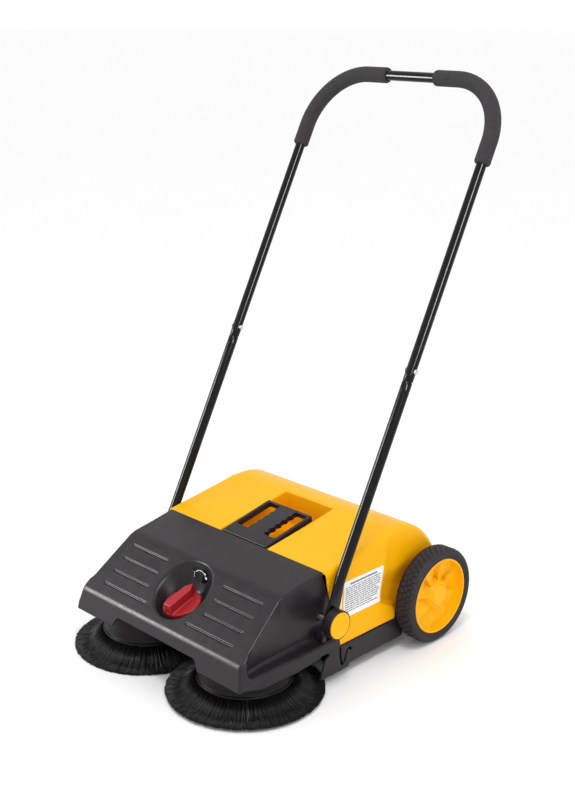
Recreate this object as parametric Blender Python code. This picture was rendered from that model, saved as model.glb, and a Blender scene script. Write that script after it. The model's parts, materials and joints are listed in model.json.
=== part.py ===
"""Push sweeper with two disc brushes, modelled in metres with +Z up.

The front of the sweeper faces -Y and the right side is +X. The floor is z = 0,
and x = 0, y = 0 is the middle of the whole sweeper seen from above.
"""
import math

import bpy
import bmesh
from mathutils import Matrix, Vector

# ---------------------------------------------------------------- driving sizes
GAP = 0.0004                      # running gap between neighbouring solids
FIT = 0.0005                      # clearance of a pin in its bore
WALL = 0.003                      # wall of the moulded shells
SIDES = (("left", -1), ("right", 1))

WHEEL_Y, WHEEL_RADIUS = 0.1636, 0.0925
TYRE_X, TYRE_WIDTH, TYRE_INNER = 0.2232, 0.0395, 0.0735
AXLE_RADIUS, AXLE_SLOT = 0.008, 0.0095         # the container drops over the axle line
RIM_FACE = 0.2608

BRUSH_X, BRUSH_Y, BRUSH_RADIUS = 0.132, -0.2211, 0.143
DRUM_TOP, DRUM_BOTTOM, FLANGE_RADIUS = 0.0755, 0.026, 0.0875
SPINDLE_RADIUS = 0.006
DECK_BOTTOM, DECK_TOP = 0.084, 0.088

GEAR_MODULE, PINION_TEETH, CROWN_TEETH = 0.0024, 10, 20
SHAFT_RADIUS, SHAFT_Z = 0.004, 0.1095
BELT_X, BELT_WIDTH, BELT_THICK = 0.182, 0.005, 0.0025
WHEEL_PULLEY, SHAFT_PULLEY = 0.027, 0.009      # pitch radii of the belt drive

PIVOT_Y, PIVOT_Z = -0.112, 0.1306
LEAN = math.radians(27.3)                      # handle leans back from upright
TUBE_X, TUBE_RADIUS, TUBE_WALL = 0.2241, 0.0095, 0.0012
TUBE_JOINT, CORNER_START, CORNER_RADIUS = 0.440, 0.8895, 0.115
GRIP_RADIUS, GRIP_START, GRIP_END_X = 0.015, 0.848, 0.058
BOLT_RADIUS = 0.006

KNOB_Y, KNOB_Z, KNOB_RADIUS = -0.2508, 0.1339, 0.0354
KNOB_TILT = math.radians(18.3)

HOOD_FRONT = (-0.3098, 0.1110, 0.2155)         # y, z and half width of each bend
HOOD_BEND = (-0.2016, 0.1945, 0.1993)
HOOD_REAR = (-0.1033, 0.2099, 0.2016)
TOP_SLOPE = 0.150                              # rise of the container's top to the rear

SKIRT_HALF, SKIRT_FRONT, SKIRT_REAR = 0.2235, -0.3240, -0.0734
SEAM_Z = 0.0620                                # base below, hood and container above
CROWN_START, CROWN_LENGTH, CROWN_DROP = 0.0700, 0.1666, 0.2000   # flat top, then an oval rear
STEP_Y, NARROW = 0.0435, 0.2010                # container narrows beside the wheels
FOOT_REAR, FOOT_TOP = 0.0860, 0.0950           # its wide foot runs back beside the tyre
BASE_WIDE, BASE_NARROW, BASE_REAR = 0.2220, 0.2005, 0.2345
BASE_STEP = 0.1020                             # the base narrows here, behind the tyre's front
POCKET_HALF, POCKET_REAR, POCKET_FLOOR = 0.063, 0.078, 0.1700
POST_X, EAR_X = (0.1885, 0.1960), (0.2040, 0.2100)        # base posts and wheel ears


# ---------------------------------------------------------------- making meshes
def material(name, colour, roughness, metallic=0.0):
    found = bpy.data.materials.new(name)
    found.use_nodes = True
    shader = found.node_tree.nodes["Principled BSDF"]
    shader.inputs["Base Color"].default_value = (*colour, 1.0)
    shader.inputs["Roughness"].default_value = roughness
    shader.inputs["Metallic"].default_value = metallic
    return found


def make(name, verts, faces, look=None, flat=False):
    """One closed body from points and faces, facing out."""
    mesh = bpy.data.meshes.new(name)
    mesh.from_pydata([tuple(v) for v in verts], [], faces)
    body = bmesh.new()
    body.from_mesh(mesh)
    bmesh.ops.recalc_face_normals(body, faces=body.faces)
    body.to_mesh(mesh)
    body.free()
    obj = bpy.data.objects.new(name, mesh)
    bpy.context.collection.objects.link(obj)
    finish(obj, look, flat)
    return obj


def finish(obj, look, flat=False):
    if look is not None:
        obj.data.materials.clear()
        obj.data.materials.append(look)
    if not flat:
        obj.data.shade_smooth()
        obj.data.set_sharp_from_angle(angle=math.radians(30))


def loft(name, rings, look=None, closed=False):
    """Skin a row of rings with the same number of points; cap it or close it."""
    count = len(rings[0])
    verts = [v for ring in rings for v in ring]
    faces = []
    last = len(rings) if closed else len(rings) - 1
    for i in range(last):
        a, b = i * count, ((i + 1) % len(rings)) * count
        for j in range(count):
            k = (j + 1) % count
            faces.append((a + j, a + k, b + k, b + j))
    if not closed:
        faces.append(tuple(range(count)))
        faces.append(tuple(range(len(verts) - count, len(verts))))
    return make(name, verts, faces, look)


def frame(origin, axis):
    """A frame whose local Z is the given axis."""
    turn = Vector(axis).to_track_quat("Z", "Y").to_matrix().to_4x4()
    return Matrix.Translation(Vector(origin)) @ turn


def turned(name, outline, origin, axis, look=None, steps=28):
    """Turn an outline of (radius, height); it runs from axis to axis or is a loop."""
    place = frame(origin, axis)
    solid = outline[0][0] == 0.0
    inner = outline[1:-1] if solid else outline
    verts = []
    for radius, height in inner:
        for k in range(steps):
            turn = math.tau * k / steps
            point = (radius * math.cos(turn), radius * math.sin(turn), height)
            verts.append(place @ Vector(point))
    faces = []
    spans = len(inner) - 1 if solid else len(inner)
    for i in range(spans):
        a, b = i * steps, ((i + 1) % len(inner)) * steps
        for k in range(steps):
            n = (k + 1) % steps
            faces.append((a + k, a + n, b + n, b + k))
    if solid:
        faces.append(tuple(range(steps)))
        faces.append(tuple(range(len(verts) - steps, len(verts))))
    return make(name, verts, faces, look)


def rod(name, radius, start, end, look=None, steps=20):
    start, end = Vector(start), Vector(end)
    length = (end - start).length
    outline = [(0.0, 0.0), (radius, 0.0), (radius, length), (0.0, length)]
    return turned(name, outline, start, end - start, look, steps)


def prism(name, outline, axis, low, high, look=None):
    """Push a flat outline along X, Y or Z from low to high."""
    order = {"X": lambda a, b, c: (c, a, b), "Y": lambda a, b, c: (a, c, b),
             "Z": lambda a, b, c: (a, b, c)}[axis]
    rings = [[Vector(order(a, b, level)) for a, b in outline] for level in (low, high)]
    return loft(name, rings, look)


def ring_prism(name, outer, inner, low, high, look=None):
    """A flat ring between two outlines in the YZ plane, pushed along X."""
    rings = []
    for outline, level in ((outer, low), (outer, high), (inner, high), (inner, low)):
        rings.append([Vector((level, a, b)) for a, b in outline])
    return loft(name, rings, look, closed=True)


def block(name, low, high, look=None):
    outline = [(low[0], low[1]), (high[0], low[1]), (high[0], high[1]), (low[0], high[1])]
    return prism(name, outline, "Z", low[2], high[2], look)


def combine(obj, others, operation):
    """Join, cut or intersect, and keep only the result."""
    for other in others:
        step = obj.modifiers.new(operation, "BOOLEAN")
        step.operation = operation
        step.solver = "EXACT"
        step.object = other
    bpy.context.view_layer.update()
    shape = obj.evaluated_get(bpy.context.evaluated_depsgraph_get())
    result = bpy.data.meshes.new_from_object(shape)
    obj.modifiers.clear()
    obj.data = result
    for other in others:
        bpy.data.objects.remove(other)
    obj.data.shade_smooth()
    obj.data.set_sharp_from_angle(angle=math.radians(30))
    return obj


def cut(obj, *others):
    return combine(obj, others, "DIFFERENCE")


def join(obj, *others):
    return combine(obj, others, "UNION")


def keep_common(obj, *others):
    return combine(obj, others, "INTERSECT")


def arc(centre, radius, start, end, count):
    """Points on an arc, angles in degrees."""
    points = []
    for k in range(count + 1):
        turn = math.radians(start + (end - start) * k / count)
        points.append((centre[0] + radius * math.cos(turn), centre[1] + radius * math.sin(turn)))
    return points


def span(side, near, far):
    """X limits of a stretch on one side of the sweeper, in rising order."""
    return sorted((side * near, side * far))


def clear_scene():
    for obj in list(bpy.data.objects):
        bpy.data.objects.remove(obj)


# ---------------------------------------------------------------- front hood
def seam_line(shift):
    """Side view of the joint between hood and container, from the top down."""
    corners = ((HOOD_REAR[0], 0.240), (-0.0970, 0.175), (-0.0918, 0.155), (SKIRT_REAR, SEAM_Z),
               (SKIRT_REAR, 0.030))
    return [(y + shift, z) for y, z in corners]


def hood_slope():
    """Unit vector up the slanted face."""
    return Vector((0, HOOD_BEND[0] - HOOD_FRONT[0], HOOD_BEND[1] - HOOD_FRONT[1])).normalized()


def hood_upper(inset):
    """The hood above its ledge, moved in by the wall when inset is set."""
    bottom, rear_y = 0.070, HOOD_REAR[0] + 0.03
    stations = [list(place) for place in (HOOD_FRONT, HOOD_BEND, HOOD_REAR)]
    stations[0][0] += inset * 1.1
    stations[0][1] -= inset * 0.7
    stations[1][0] += inset * 0.4
    stations[1][1] -= inset
    stations[2][1] -= inset
    if inset:
        stations.append([HOOD_REAR[0] + 0.06, HOOD_REAR[1] + 0.006, HOOD_REAR[2]])
        bottom, rear_y = 0.060, HOOD_REAR[0] + 0.06
    verts = []
    for y, z, half in stations:
        verts += [(-half + inset, y, z), (half - inset, y, z)]
    top = len(stations)
    foot_half = BASE_NARROW - inset
    front_y = HOOD_FRONT[0] - 0.0100 + inset * 1.1
    verts += [(-foot_half, front_y, bottom), (foot_half, front_y, bottom)]
    verts += [(-foot_half, rear_y, bottom), (foot_half, rear_y, bottom)]
    n = 2 * top
    faces = [(2 * i, 2 * i + 1, 2 * i + 3, 2 * i + 2) for i in range(top - 1)]
    faces.append((n, n + 1, 1, 0))
    faces.append((n + 2, n + 3, n - 1, n - 2))
    faces.append((n, n + 1, n + 3, n + 2))
    faces.append(tuple([n] + [2 * i for i in range(top)] + [n + 2]))
    faces.append(tuple([n + 1] + [2 * i + 1 for i in range(top)] + [n + 3]))
    return make("hood_upper", verts, faces)


def hood_skirt(inset):
    """The wider band round the hood's foot: front band and side flanges."""
    low, rear = 0.050, SKIRT_REAR
    if inset:
        low, rear = 0.030, 0.02
    half, front_low, front_high = SKIRT_HALF - inset, SKIRT_FRONT + inset, HOOD_FRONT[0] + inset
    high, side_high = HOOD_FRONT[1] - inset, 0.0850 - inset
    verts = []
    outline = [(front_low, low), (front_high, high), (front_high + 0.012, high),
               (front_high + 0.026, side_high), (rear - 0.009, side_high), (rear, low)]
    for side in (-half, half):
        verts += [(side, y, z) for y, z in outline]
    faces = [tuple(range(6)), tuple(range(6, 12))]
    faces += [(i, (i + 1) % 6, (i + 1) % 6 + 6, i + 6) for i in range(6)]
    return make("hood_skirt", verts, faces)


def recess(name, grow, reach, drop):
    """The bowl round the knob: an oval mouth on the slope down to a round floor.

    It is larger all round by grow, its floor is lower by drop, and its sides run on
    past the slope to reach times their length.
    """
    up = hood_slope()
    mouth = Vector((0, HOOD_FRONT[0], HOOD_FRONT[1])) + up * 0.0786
    axis = Vector((0, -math.sin(KNOB_TILT), math.cos(KNOB_TILT)))
    across = Vector((0, math.cos(KNOB_TILT), math.sin(KNOB_TILT)))
    floor = Vector((0, KNOB_Y, KNOB_Z)) - axis * (0.0100 + drop)
    rings = [[], []]
    steps = 28
    for k in range(steps):
        turn = math.tau * k / steps
        c, s = math.cos(turn), math.sin(turn)
        low = floor + Vector((1, 0, 0)) * (0.0385 + grow) * c + across * (0.0385 + grow) * s
        high = mouth + Vector((1, 0, 0)) * (0.0560 + grow) * c + up * (0.0610 + grow) * s
        rings[0].append(low)
        rings[1].append(low + (high - low) * reach)
    return loft(name, rings)


def make_hood(look):
    hood = join(hood_upper(0), hood_skirt(0))
    hollow = join(hood_upper(WALL), hood_skirt(WALL))
    bowl = recess("bowl_solid", WALL, 1.5, WALL)
    cut(hollow, bowl)
    cut(hood, hollow)
    trim = [recess("bowl_inside", 0, 1.4, 0)]
    tip = Vector((0, -math.sin(KNOB_TILT), math.cos(KNOB_TILT)))
    knob = Vector((0, KNOB_Y, KNOB_Z))
    trim.append(rod("spindle_bore", 0.0055, knob - tip * 0.030, knob))
    for _, side in SIDES:
        trim.append(rod("pivot_bore", BOLT_RADIUS + FIT, (side * 0.18, PIVOT_Y, PIVOT_Z),
                        (side * 0.23, PIVOT_Y, PIVOT_Z)))
    notch = [(-0.118, 0.040), (0.118, 0.040), (0.118, 0.068), (0.105, 0.0870),
             (-0.105, 0.0870), (-0.118, 0.068)]
    trim.append(prism("front_notch", notch, "Y", -0.335, -0.300))
    skirt_foot = [(-0.335, 0.030), (-0.335, 0.068), (-0.306, 0.068), (-0.292, 0.0555),
                  (-0.184, 0.0545), (-0.127, 0.0598), (-0.1245, 0.0621), (-0.060, 0.0624), (-0.060, 0.030)]
    trim.append(prism("skirt_foot", skirt_foot, "X", -0.24, 0.24))
    rear = seam_line(0.0) + [(0.05, 0.030), (0.05, 0.240)]
    trim.append(prism("rear_edge", rear, "X", -0.24, 0.24))
    cut(hood, *trim)
    hood.name = "front_hood"
    finish(hood, look)


# ---------------------------------------------------------------- base chassis
def base_plan(inset, front):
    """Half of the base seen from above, from the front edge to the rear middle."""
    wide, narrow, rear = BASE_WIDE - inset, BASE_NARROW - inset, BASE_REAR - inset
    return [(0, front), (wide, front), (wide, BASE_STEP - inset), (narrow, BASE_STEP + 0.008 - inset),
            (narrow, rear - 0.024), (narrow - 0.024, rear), (0, rear)]


def mirrored(points):
    """A closed outline from its right half."""
    other = [(-x, y) for x, y in reversed(points) if abs(x) > 1e-6]
    return points + other


def make_base(look):
    tray = prism("base_chassis", mirrored(base_plan(0, -0.1240)), "Z", 0.0120, SEAM_Z - 0.0003)
    cut(tray, prism("inside", mirrored(base_plan(WALL, -0.1400)), "Z", 0.0220, 0.0800))
    under = [(-0.0460, 0.0000), (-0.0460, 0.0190), (0.2600, 0.0190), (0.2600, 0.0000)]
    front = [(-0.0680, 0.0000), (-0.0680, 0.0800), (-0.1400, 0.0800), (-0.1400, 0.0000)]
    cut(tray, prism("under_step", under, "X", -0.23, 0.23),
        prism("front_opening", front, "X", -0.2190, 0.2190))
    toe = [(-0.1400, 0.0700), (-0.1240, 0.0120), (-0.1095, 0.0490), (-0.0970, 0.0550),
           (-0.1060, 0.0700)]
    trim = [prism("toe_slope", toe, "X", -0.23, 0.23)]
    hook = [(-0.0730, 0.0570), (-0.0650, 0.0236), (-0.0610, 0.0236), (-0.0690, 0.0570)]
    trim.append(prism("latch_slot", hook, "X", -0.23, 0.23))
    cut(tray, *trim)
    parts, bores = [], []
    for _, side in SIDES:
        x0, x1 = span(side, 0.1930, 0.2206)
        parts.append(block("bracket", (x0, -0.0990, 0.0465), (x1, -0.0770, 0.0590)))
        x0, x1 = span(side, *POST_X)
        parts.append(block("post", (x0, -0.1240, 0.0450), (x1, -0.0760, 0.1450)))
        x0, x1 = span(side, 0.1970, 0.2095)
        parts.append(block("ear_foot", (x0, 0.1420, 0.0250), (x1, 0.1850, 0.0600)))
        x0, x1 = span(side, *EAR_X)
        ear = [(0.1410, 0.0500), (0.1862, 0.0500)] + arc((WHEEL_Y, WHEEL_RADIUS), 0.0226, 0, 180, 12)
        parts.append(prism("ear", ear, "X", x0, x1))
        bores.append(rod("bearing_bore", 0.0145, (side * 0.195, WHEEL_Y, WHEEL_RADIUS),
                         (side * 0.215, WHEEL_Y, WHEEL_RADIUS)))
        bores.append(rod("bolt_bore", BOLT_RADIUS + FIT, (side * 0.180, PIVOT_Y, PIVOT_Z),
                         (side * 0.200, PIVOT_Y, PIVOT_Z)))
    join(tray, *parts)
    cut(tray, *bores)
    finish(tray, look)


# ---------------------------------------------------------------- container
def top_plane(y):
    return HOOD_REAR[1] + TOP_SLOPE * (y - HOOD_REAR[0])


def cover_side(inset, front, low):
    """Side view of the container: flat sloping top that falls away as an oval."""
    length, drop = CROWN_LENGTH - inset, CROWN_DROP - inset
    top = top_plane(CROWN_START) - inset
    lean = TOP_SLOPE * length
    last = math.acos((low - top + drop) / (drop + lean))
    outline = [(front, low), (front, top_plane(front) - inset)]
    steps = 12
    for k in range(steps + 1):
        turn = last * k / steps
        along, down = math.sin(turn), math.cos(turn)
        outline.append((CROWN_START + length * along, top - drop * (1 - down) + lean * along * down))
    return outline


def cover_plan(inset, low, high):
    """The container from above, tapering upwards, stepped in beside the wheels."""
    def ring(z):
        wide = 0.2200 - (z - SEAM_Z) * 0.0636 - inset
        channel = min(wide, 0.2132 - inset)
        narrow = NARROW - (z - SEAM_Z) * 0.02 - inset
        step = STEP_Y + (z - SEAM_Z) * 0.147
        half = [(0, -0.2), (channel, -0.2), (channel, -0.0560 - inset), (wide, -0.0500 - inset),
                (wide, step - 0.008), (narrow, step), (narrow, 0.2060 - inset),
                (narrow - 0.026, 0.2380 - inset), (0, 0.2420)]
        return [Vector((x, y, z)) for x, y in mirrored(half)]
    return loft("cover_plan", [ring(low), ring(high)])


def wide_feet(inset):
    """Flared foot on each side that reaches back to the tyre."""
    feet = []
    low = SEAM_Z - inset * 4
    for _, side in SIDES:
        def ring(half):
            points = [(half, 0.0300), (half, FOOT_REAR - inset), (0.1950 - inset, FOOT_REAR - inset),
                      (0.1950 - inset, 0.0300)]
            return [Vector((side * x, y, 0)) for x, y in points]
        sections = []
        for half, z in ((0.2198, low), (0.2188, 0.0780), (0.2040, FOOT_TOP - inset)):
            sections.append([Vector((p.x, p.y, z)) for p in ring(half - inset)])
        feet.append(loft("wide_foot", sections))
    return feet


def make_cover(look):
    cover = prism("container_cover", cover_side(0, HOOD_REAR[0] - 0.02, SEAM_Z), "X", -0.24, 0.24)
    keep_common(cover, cover_plan(0, 0.050, 0.250))
    join(cover, *wide_feet(0))
    hollow = prism("hollow", cover_side(WALL, -0.16, 0.040), "X", -0.24, 0.24)
    keep_common(hollow, cover_plan(WALL, 0.030, 0.260))
    cut(hollow, block("pocket_wall", (-POCKET_HALF - WALL, -0.17, POCKET_FLOOR - WALL),
                      (POCKET_HALF + WALL, POCKET_REAR + WALL, 0.27)))
    cut(cover, hollow, *wide_feet(WALL))
    trim = [block("pocket", (-POCKET_HALF, -0.17, POCKET_FLOOR), (POCKET_HALF, POCKET_REAR, 0.27))]
    for _, side in SIDES:
        top = arc((WHEEL_Y, WHEEL_RADIUS), AXLE_SLOT, 0, 180, 12)
        slot = [(WHEEL_Y - AXLE_SLOT, 0.040), (WHEEL_Y + AXLE_SLOT, 0.040)] + top
        x0, x1 = span(side, 0.185, 0.215)
        trim.append(prism("axle_slot", slot, "X", x0, x1))
    front = seam_line(GAP) + [(-0.30, 0.030), (-0.30, 0.240)]
    trim.append(prism("front_edge", front, "X", -0.25, 0.25))
    cut(cover, *trim)
    finish(cover, look)


def make_tub(look, rubber):
    half, front, rear, low, high = 0.160, -0.0700, 0.2020, 0.0226, 0.1500
    tub = block("container_tub", (-half, front, low), (half, rear, high))
    thick = 0.0025
    cut(tub, block("inside", (-half + thick, front + thick, low + thick),
                   (half - thick, rear - thick, 0.2)))
    cut(tub, block("mouth", (-half + 0.012, front - 0.01, 0.032), (half - 0.012, front + 0.01, 0.110)))
    finish(tub, look)
    block("dirt_lip", (-0.155, front - 0.0045, 0.004), (0.155, front - GAP, 0.0300), rubber)


def make_carry_plate(look):
    """Black grip plate over the hand pocket, with two long finger slots."""
    slope = math.atan2(0.025, 0.123)
    length, thick = 0.1255, 0.012
    place = Matrix.Translation((0, -0.0990, 0.2115)) @ Matrix.Rotation(slope, 4, "X")
    plate = block("carry_plate", (-0.0585, 0, -thick), (0.0585, length, 0))
    holes = []
    for _, side in SIDES:
        x0, x1 = span(side, 0.021, 0.0512)
        holes.append(block("finger_slot", (x0, 0.031, -0.02), (x1, 0.1205, 0.02)))
    cut(plate, *holes)
    join(plate, block("front_tongue", (-0.0622, 0.0004, -0.030), (0.0622, 0.0060, -0.004)))
    plate.data.transform(place)
    finish(plate, look)


# ---------------------------------------------------------------- road wheels
def make_wheel(label, side, look):
    centre = (0, WHEEL_Y, WHEEL_RADIUS)
    axis = (side, 0, 0)
    face, back = TYRE_X + TYRE_WIDTH, TYRE_X
    tread = [(TYRE_INNER, back + 0.002), (WHEEL_RADIUS - 0.008, back), (WHEEL_RADIUS - 0.002, back + 0.003),
             (WHEEL_RADIUS, back + 0.007), (WHEEL_RADIUS, face - 0.007),
             (WHEEL_RADIUS - 0.002, face - 0.003), (WHEEL_RADIUS - 0.008, face),
             (TYRE_INNER, face - 0.002)]
    turned("tyre_" + label, tread, centre, axis, look["tyre"], 36)
    bore, barrel = AXLE_RADIUS + GAP, TYRE_INNER - 0.0004
    profile = [(bore, 0.2275), (0.0160, 0.2275), (0.0170, 0.2440), (barrel - 0.007, 0.2440),
               (barrel - 0.005, back + 0.002), (barrel, back + 0.002), (barrel, RIM_FACE),
               (barrel - 0.004, RIM_FACE), (barrel - 0.006, 0.2490), (0.0230, 0.2500),
               (0.0200, 0.2545), (bore, 0.2545)]
    rim = turned("rim_" + label, profile, centre, axis, look["yellow"], 28)
    windows = []
    for k in range(8):
        middle = math.tau * (k + 0.5) / 8
        ring = []
        for radius, half in ((0.029, 0.24), (0.061, 0.30)):
            spread = (-half, half) if radius < 0.04 else (half, 0, -half)
            for offset in spread:
                turn = middle + offset
                ring.append((WHEEL_Y + radius * math.cos(turn), WHEEL_RADIUS + radius * math.sin(turn)))
        x0, x1 = span(side, 0.238, 0.258)
        windows.append(prism("window", ring, "X", x0, x1))
    cut(rim, *windows)
    cap = [(0.0, 0.2550), (0.0225, 0.2550), (0.0230, 0.2560), (0.0230, 0.2575), (0.0215, 0.2588),
           (0.0, 0.2588)]
    turned("hub_cap_" + label, cap, centre, axis, look["yellow"], 28)
    rod("stub_axle_" + label, AXLE_RADIUS, (side * 0.1655, WHEEL_Y, WHEEL_RADIUS),
        (side * 0.2542, WHEEL_Y, WHEEL_RADIUS), look["steel"])
    bush = [(bore, 0.2015), (0.0180, 0.2015), (0.0180, 0.2036), (0.0140, 0.2036),
            (0.0140, 0.2130), (bore, 0.2130)]
    turned("wheel_bearing_" + label, bush, centre, axis, look["nylon"], 20)
    make_pulley("drive_pulley_" + label, WHEEL_PULLEY, bore, centre, axis, look["nylon"], 28)


def make_pulley(name, pitch, bore, centre, axis, look, steps):
    groove = pitch - BELT_THICK / 2 - GAP
    low, high = BELT_X - 0.0045, BELT_X + 0.0045
    lip = groove + BELT_THICK + 0.0006
    profile = [(bore, low), (lip, low), (lip, low + 0.0012), (groove, low + 0.0016),
               (groove, high - 0.0016), (lip, high - 0.0012), (lip, high), (bore, high)]
    turned(name, profile, centre, axis, look, steps)


# ---------------------------------------------------------------- brush drive
def make_belt(label, side, look):
    """A flat belt that runs round the wheel pulley and the shaft pulley."""
    rear, front = Vector((WHEEL_Y, WHEEL_RADIUS)), Vector((BRUSH_Y, SHAFT_Z))
    reach = front - rear
    heading = math.degrees(math.atan2(reach.y, reach.x))
    wrap = math.degrees(math.acos((WHEEL_PULLEY - SHAFT_PULLEY) / reach.length))
    def outline(offset):
        points = arc(rear, WHEEL_PULLEY + offset, heading + wrap, heading + 360 - wrap, 22)
        return points + arc(front, SHAFT_PULLEY + offset, heading - wrap, heading + wrap, 9)
    x0, x1 = span(side, BELT_X - BELT_WIDTH / 2, BELT_X + BELT_WIDTH / 2)
    ring_prism("belt_" + label, outline(BELT_THICK / 2), outline(-BELT_THICK / 2), x0, x1, look)


def gear_outline(teeth, root, tip, phase):
    """Straight-sided teeth: root, root, tip, tip for each one."""
    points = []
    for k in range(teeth):
        for share, radius in ((-0.34, root), (-0.24, root), (-0.13, tip), (0.13, tip),
                              (0.24, root), (0.34, root)):
            turn = phase + math.tau * (k + share) / teeth
            points.append((BRUSH_Y + radius * math.cos(turn), SHAFT_Z + radius * math.sin(turn)))
    return points


def make_shaft(label, side, look):
    place = (0, BRUSH_Y, SHAFT_Z)
    axis = (side, 0, 0)
    rod("cross_shaft_" + label, SHAFT_RADIUS, (side * 0.0870, BRUSH_Y, SHAFT_Z),
        (side * 0.1880, BRUSH_Y, SHAFT_Z), look["steel"], 20)
    bore = SHAFT_RADIUS + GAP
    make_pulley("driven_pulley_" + label, SHAFT_PULLEY, bore, place, axis, look["nylon"], 18)
    pitch = GEAR_MODULE * PINION_TEETH / 2
    outer = gear_outline(PINION_TEETH, pitch - 0.0022, pitch + 0.0013, -math.pi / 2)
    inner = []
    for k in range(len(outer)):
        turn = -math.pi / 2 + math.tau * (k - 2.5) / len(outer)
        inner.append((BRUSH_Y + bore * math.cos(turn), SHAFT_Z + bore * math.sin(turn)))
    x0, x1 = span(side, 0.1052, 0.1108)
    ring_prism("pinion_" + label, outer, inner, x0, x1, look["nylon"])


def make_bearing_blocks(label, side, look):
    for place, low, high in (("inner", 0.0900, 0.0985), ("outer", 0.1635, 0.1730)):
        x0, x1 = span(side, low, high)
        name = "shaft_bearing_" + place + "_" + label
        body = block(name, (x0, BRUSH_Y - 0.010, DECK_TOP + GAP), (x1, BRUSH_Y + 0.010, SHAFT_Z + 0.009))
        cut(body, rod("bore", SHAFT_RADIUS + FIT, (x0 - 0.01, BRUSH_Y, SHAFT_Z),
                      (x1 + 0.01, BRUSH_Y, SHAFT_Z), steps=20))
        finish(body, look)


def make_crown_gear(label, side, look):
    """Face gear: radial teeth on top of a disc on the brush spindle."""
    low, root, tip = DECK_TOP + GAP, 0.0950, 0.0988
    gap_level = root - 0.0006
    teeth = CROWN_TEETH
    columns = []
    phase = (math.pi if side > 0 else 0.0) + math.pi / teeth
    for k in range(teeth):
        for share, raised in ((-0.22, False), (-0.13, True), (0.13, True), (0.22, False)):
            turn = phase + math.tau * (k + share) / teeth
            level = tip if raised else gap_level
            section = [(SPINDLE_RADIUS + GAP, low), (SPINDLE_RADIUS + GAP, root), (0.0195, root),
                       (0.0197, level), (0.0283, level), (0.0285, low)]
            ring = []
            for radius, z in section:
                ring.append(Vector((side * BRUSH_X + radius * math.cos(turn),
                                    BRUSH_Y + radius * math.sin(turn), z)))
            columns.append(ring)
    loft("crown_gear_" + label, columns, look, closed=True)


def make_brush(label, side, look):
    centre = (side * BRUSH_X, BRUSH_Y, 0)
    up = (0, 0, 1)
    rod("brush_spindle_" + label, SPINDLE_RADIUS, (centre[0], BRUSH_Y, 0.0700),
        (centre[0], BRUSH_Y, 0.1030), look["steel"])
    bore = SPINDLE_RADIUS + GAP
    web = DRUM_TOP - 0.0040
    drum = [(bore, web), (bore, DRUM_TOP), (0.0745, DRUM_TOP), (0.0780, web), (0.0840, 0.0310),
            (FLANGE_RADIUS - 0.001, 0.0305), (FLANGE_RADIUS, 0.0295), (FLANGE_RADIUS, DRUM_BOTTOM),
            (0.0810, DRUM_BOTTOM),
            (0.0750, web)]
    turned("brush_drum_" + label, drum, centre, up, look["black"])
    lip_low, lip_high = (0.0, 0.0034) if side < 0 else (0.0041, 0.0075)
    inner_foot = 0.1190
    bristles = [(0.0845, 0.0100), (0.0845, DRUM_BOTTOM - 0.0004), (0.0975, DRUM_BOTTOM - 0.0004),
                (inner_foot, 0.0140), (inner_foot + 0.0008, lip_high), (BRUSH_RADIUS, lip_high),
                (BRUSH_RADIUS, lip_low), (inner_foot + 0.0008, lip_low), (inner_foot, 0.0),
                (0.1060, 0.0)]
    turned("bristle_ring_" + label, bristles, centre, up, look["bristle"], 32)
    bush = [(bore, DECK_BOTTOM - 0.0012), (0.0120, DECK_BOTTOM - 0.0012), (0.0120, DECK_BOTTOM - GAP),
            (0.0090, DECK_BOTTOM - GAP), (0.0090, DECK_TOP - 0.0002), (bore, DECK_TOP - 0.0002)]
    turned("spindle_bush_" + label, bush, centre, up, look["nylon"], 20)
    make_crown_gear(label, side, look["nylon"])


def make_deck(look):
    """Plate that carries both brushes, with an arm and an eye round each stub axle."""
    deck = block("brush_deck", (-0.1740, -0.2620, DECK_BOTTOM), (0.1740, -0.1800, DECK_TOP))
    parts, bores = [], []
    for _, side in SIDES:
        x0, x1 = span(side, 0.1680, 0.1735)
        arm = [(-0.2050, DECK_BOTTOM), (WHEEL_Y, DECK_BOTTOM - 0.003), (WHEEL_Y, 0.1020),
               (-0.1850, 0.1000), (-0.2050, DECK_TOP)]
        parts.append(prism("arm", arm, "X", x0, x1))
        parts.append(rod("eye", 0.0140, (x0, WHEEL_Y, WHEEL_RADIUS), (x1, WHEEL_Y, WHEEL_RADIUS)))
        bores.append(rod("eye_bore", AXLE_RADIUS + FIT, (side * 0.15, WHEEL_Y, WHEEL_RADIUS),
                         (side * 0.19, WHEEL_Y, WHEEL_RADIUS)))
        bores.append(rod("bush_bore", 0.0095, (side * BRUSH_X, BRUSH_Y, 0.07),
                         (side * BRUSH_X, BRUSH_Y, 0.10)))
    parts.append(rod("cam_follower", 0.0035, (0.0107, -0.2438, DECK_TOP - 0.002),
                     (0.0107, -0.2438, 0.1106), steps=12))
    join(deck, *parts)
    cut(deck, *bores)
    finish(deck, look)


# ---------------------------------------------------------------- height setting
def knob_frame():
    turn = Matrix.Rotation(KNOB_TILT, 4, "X")
    return Matrix.Translation((0, KNOB_Y, KNOB_Z)) @ turn


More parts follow.
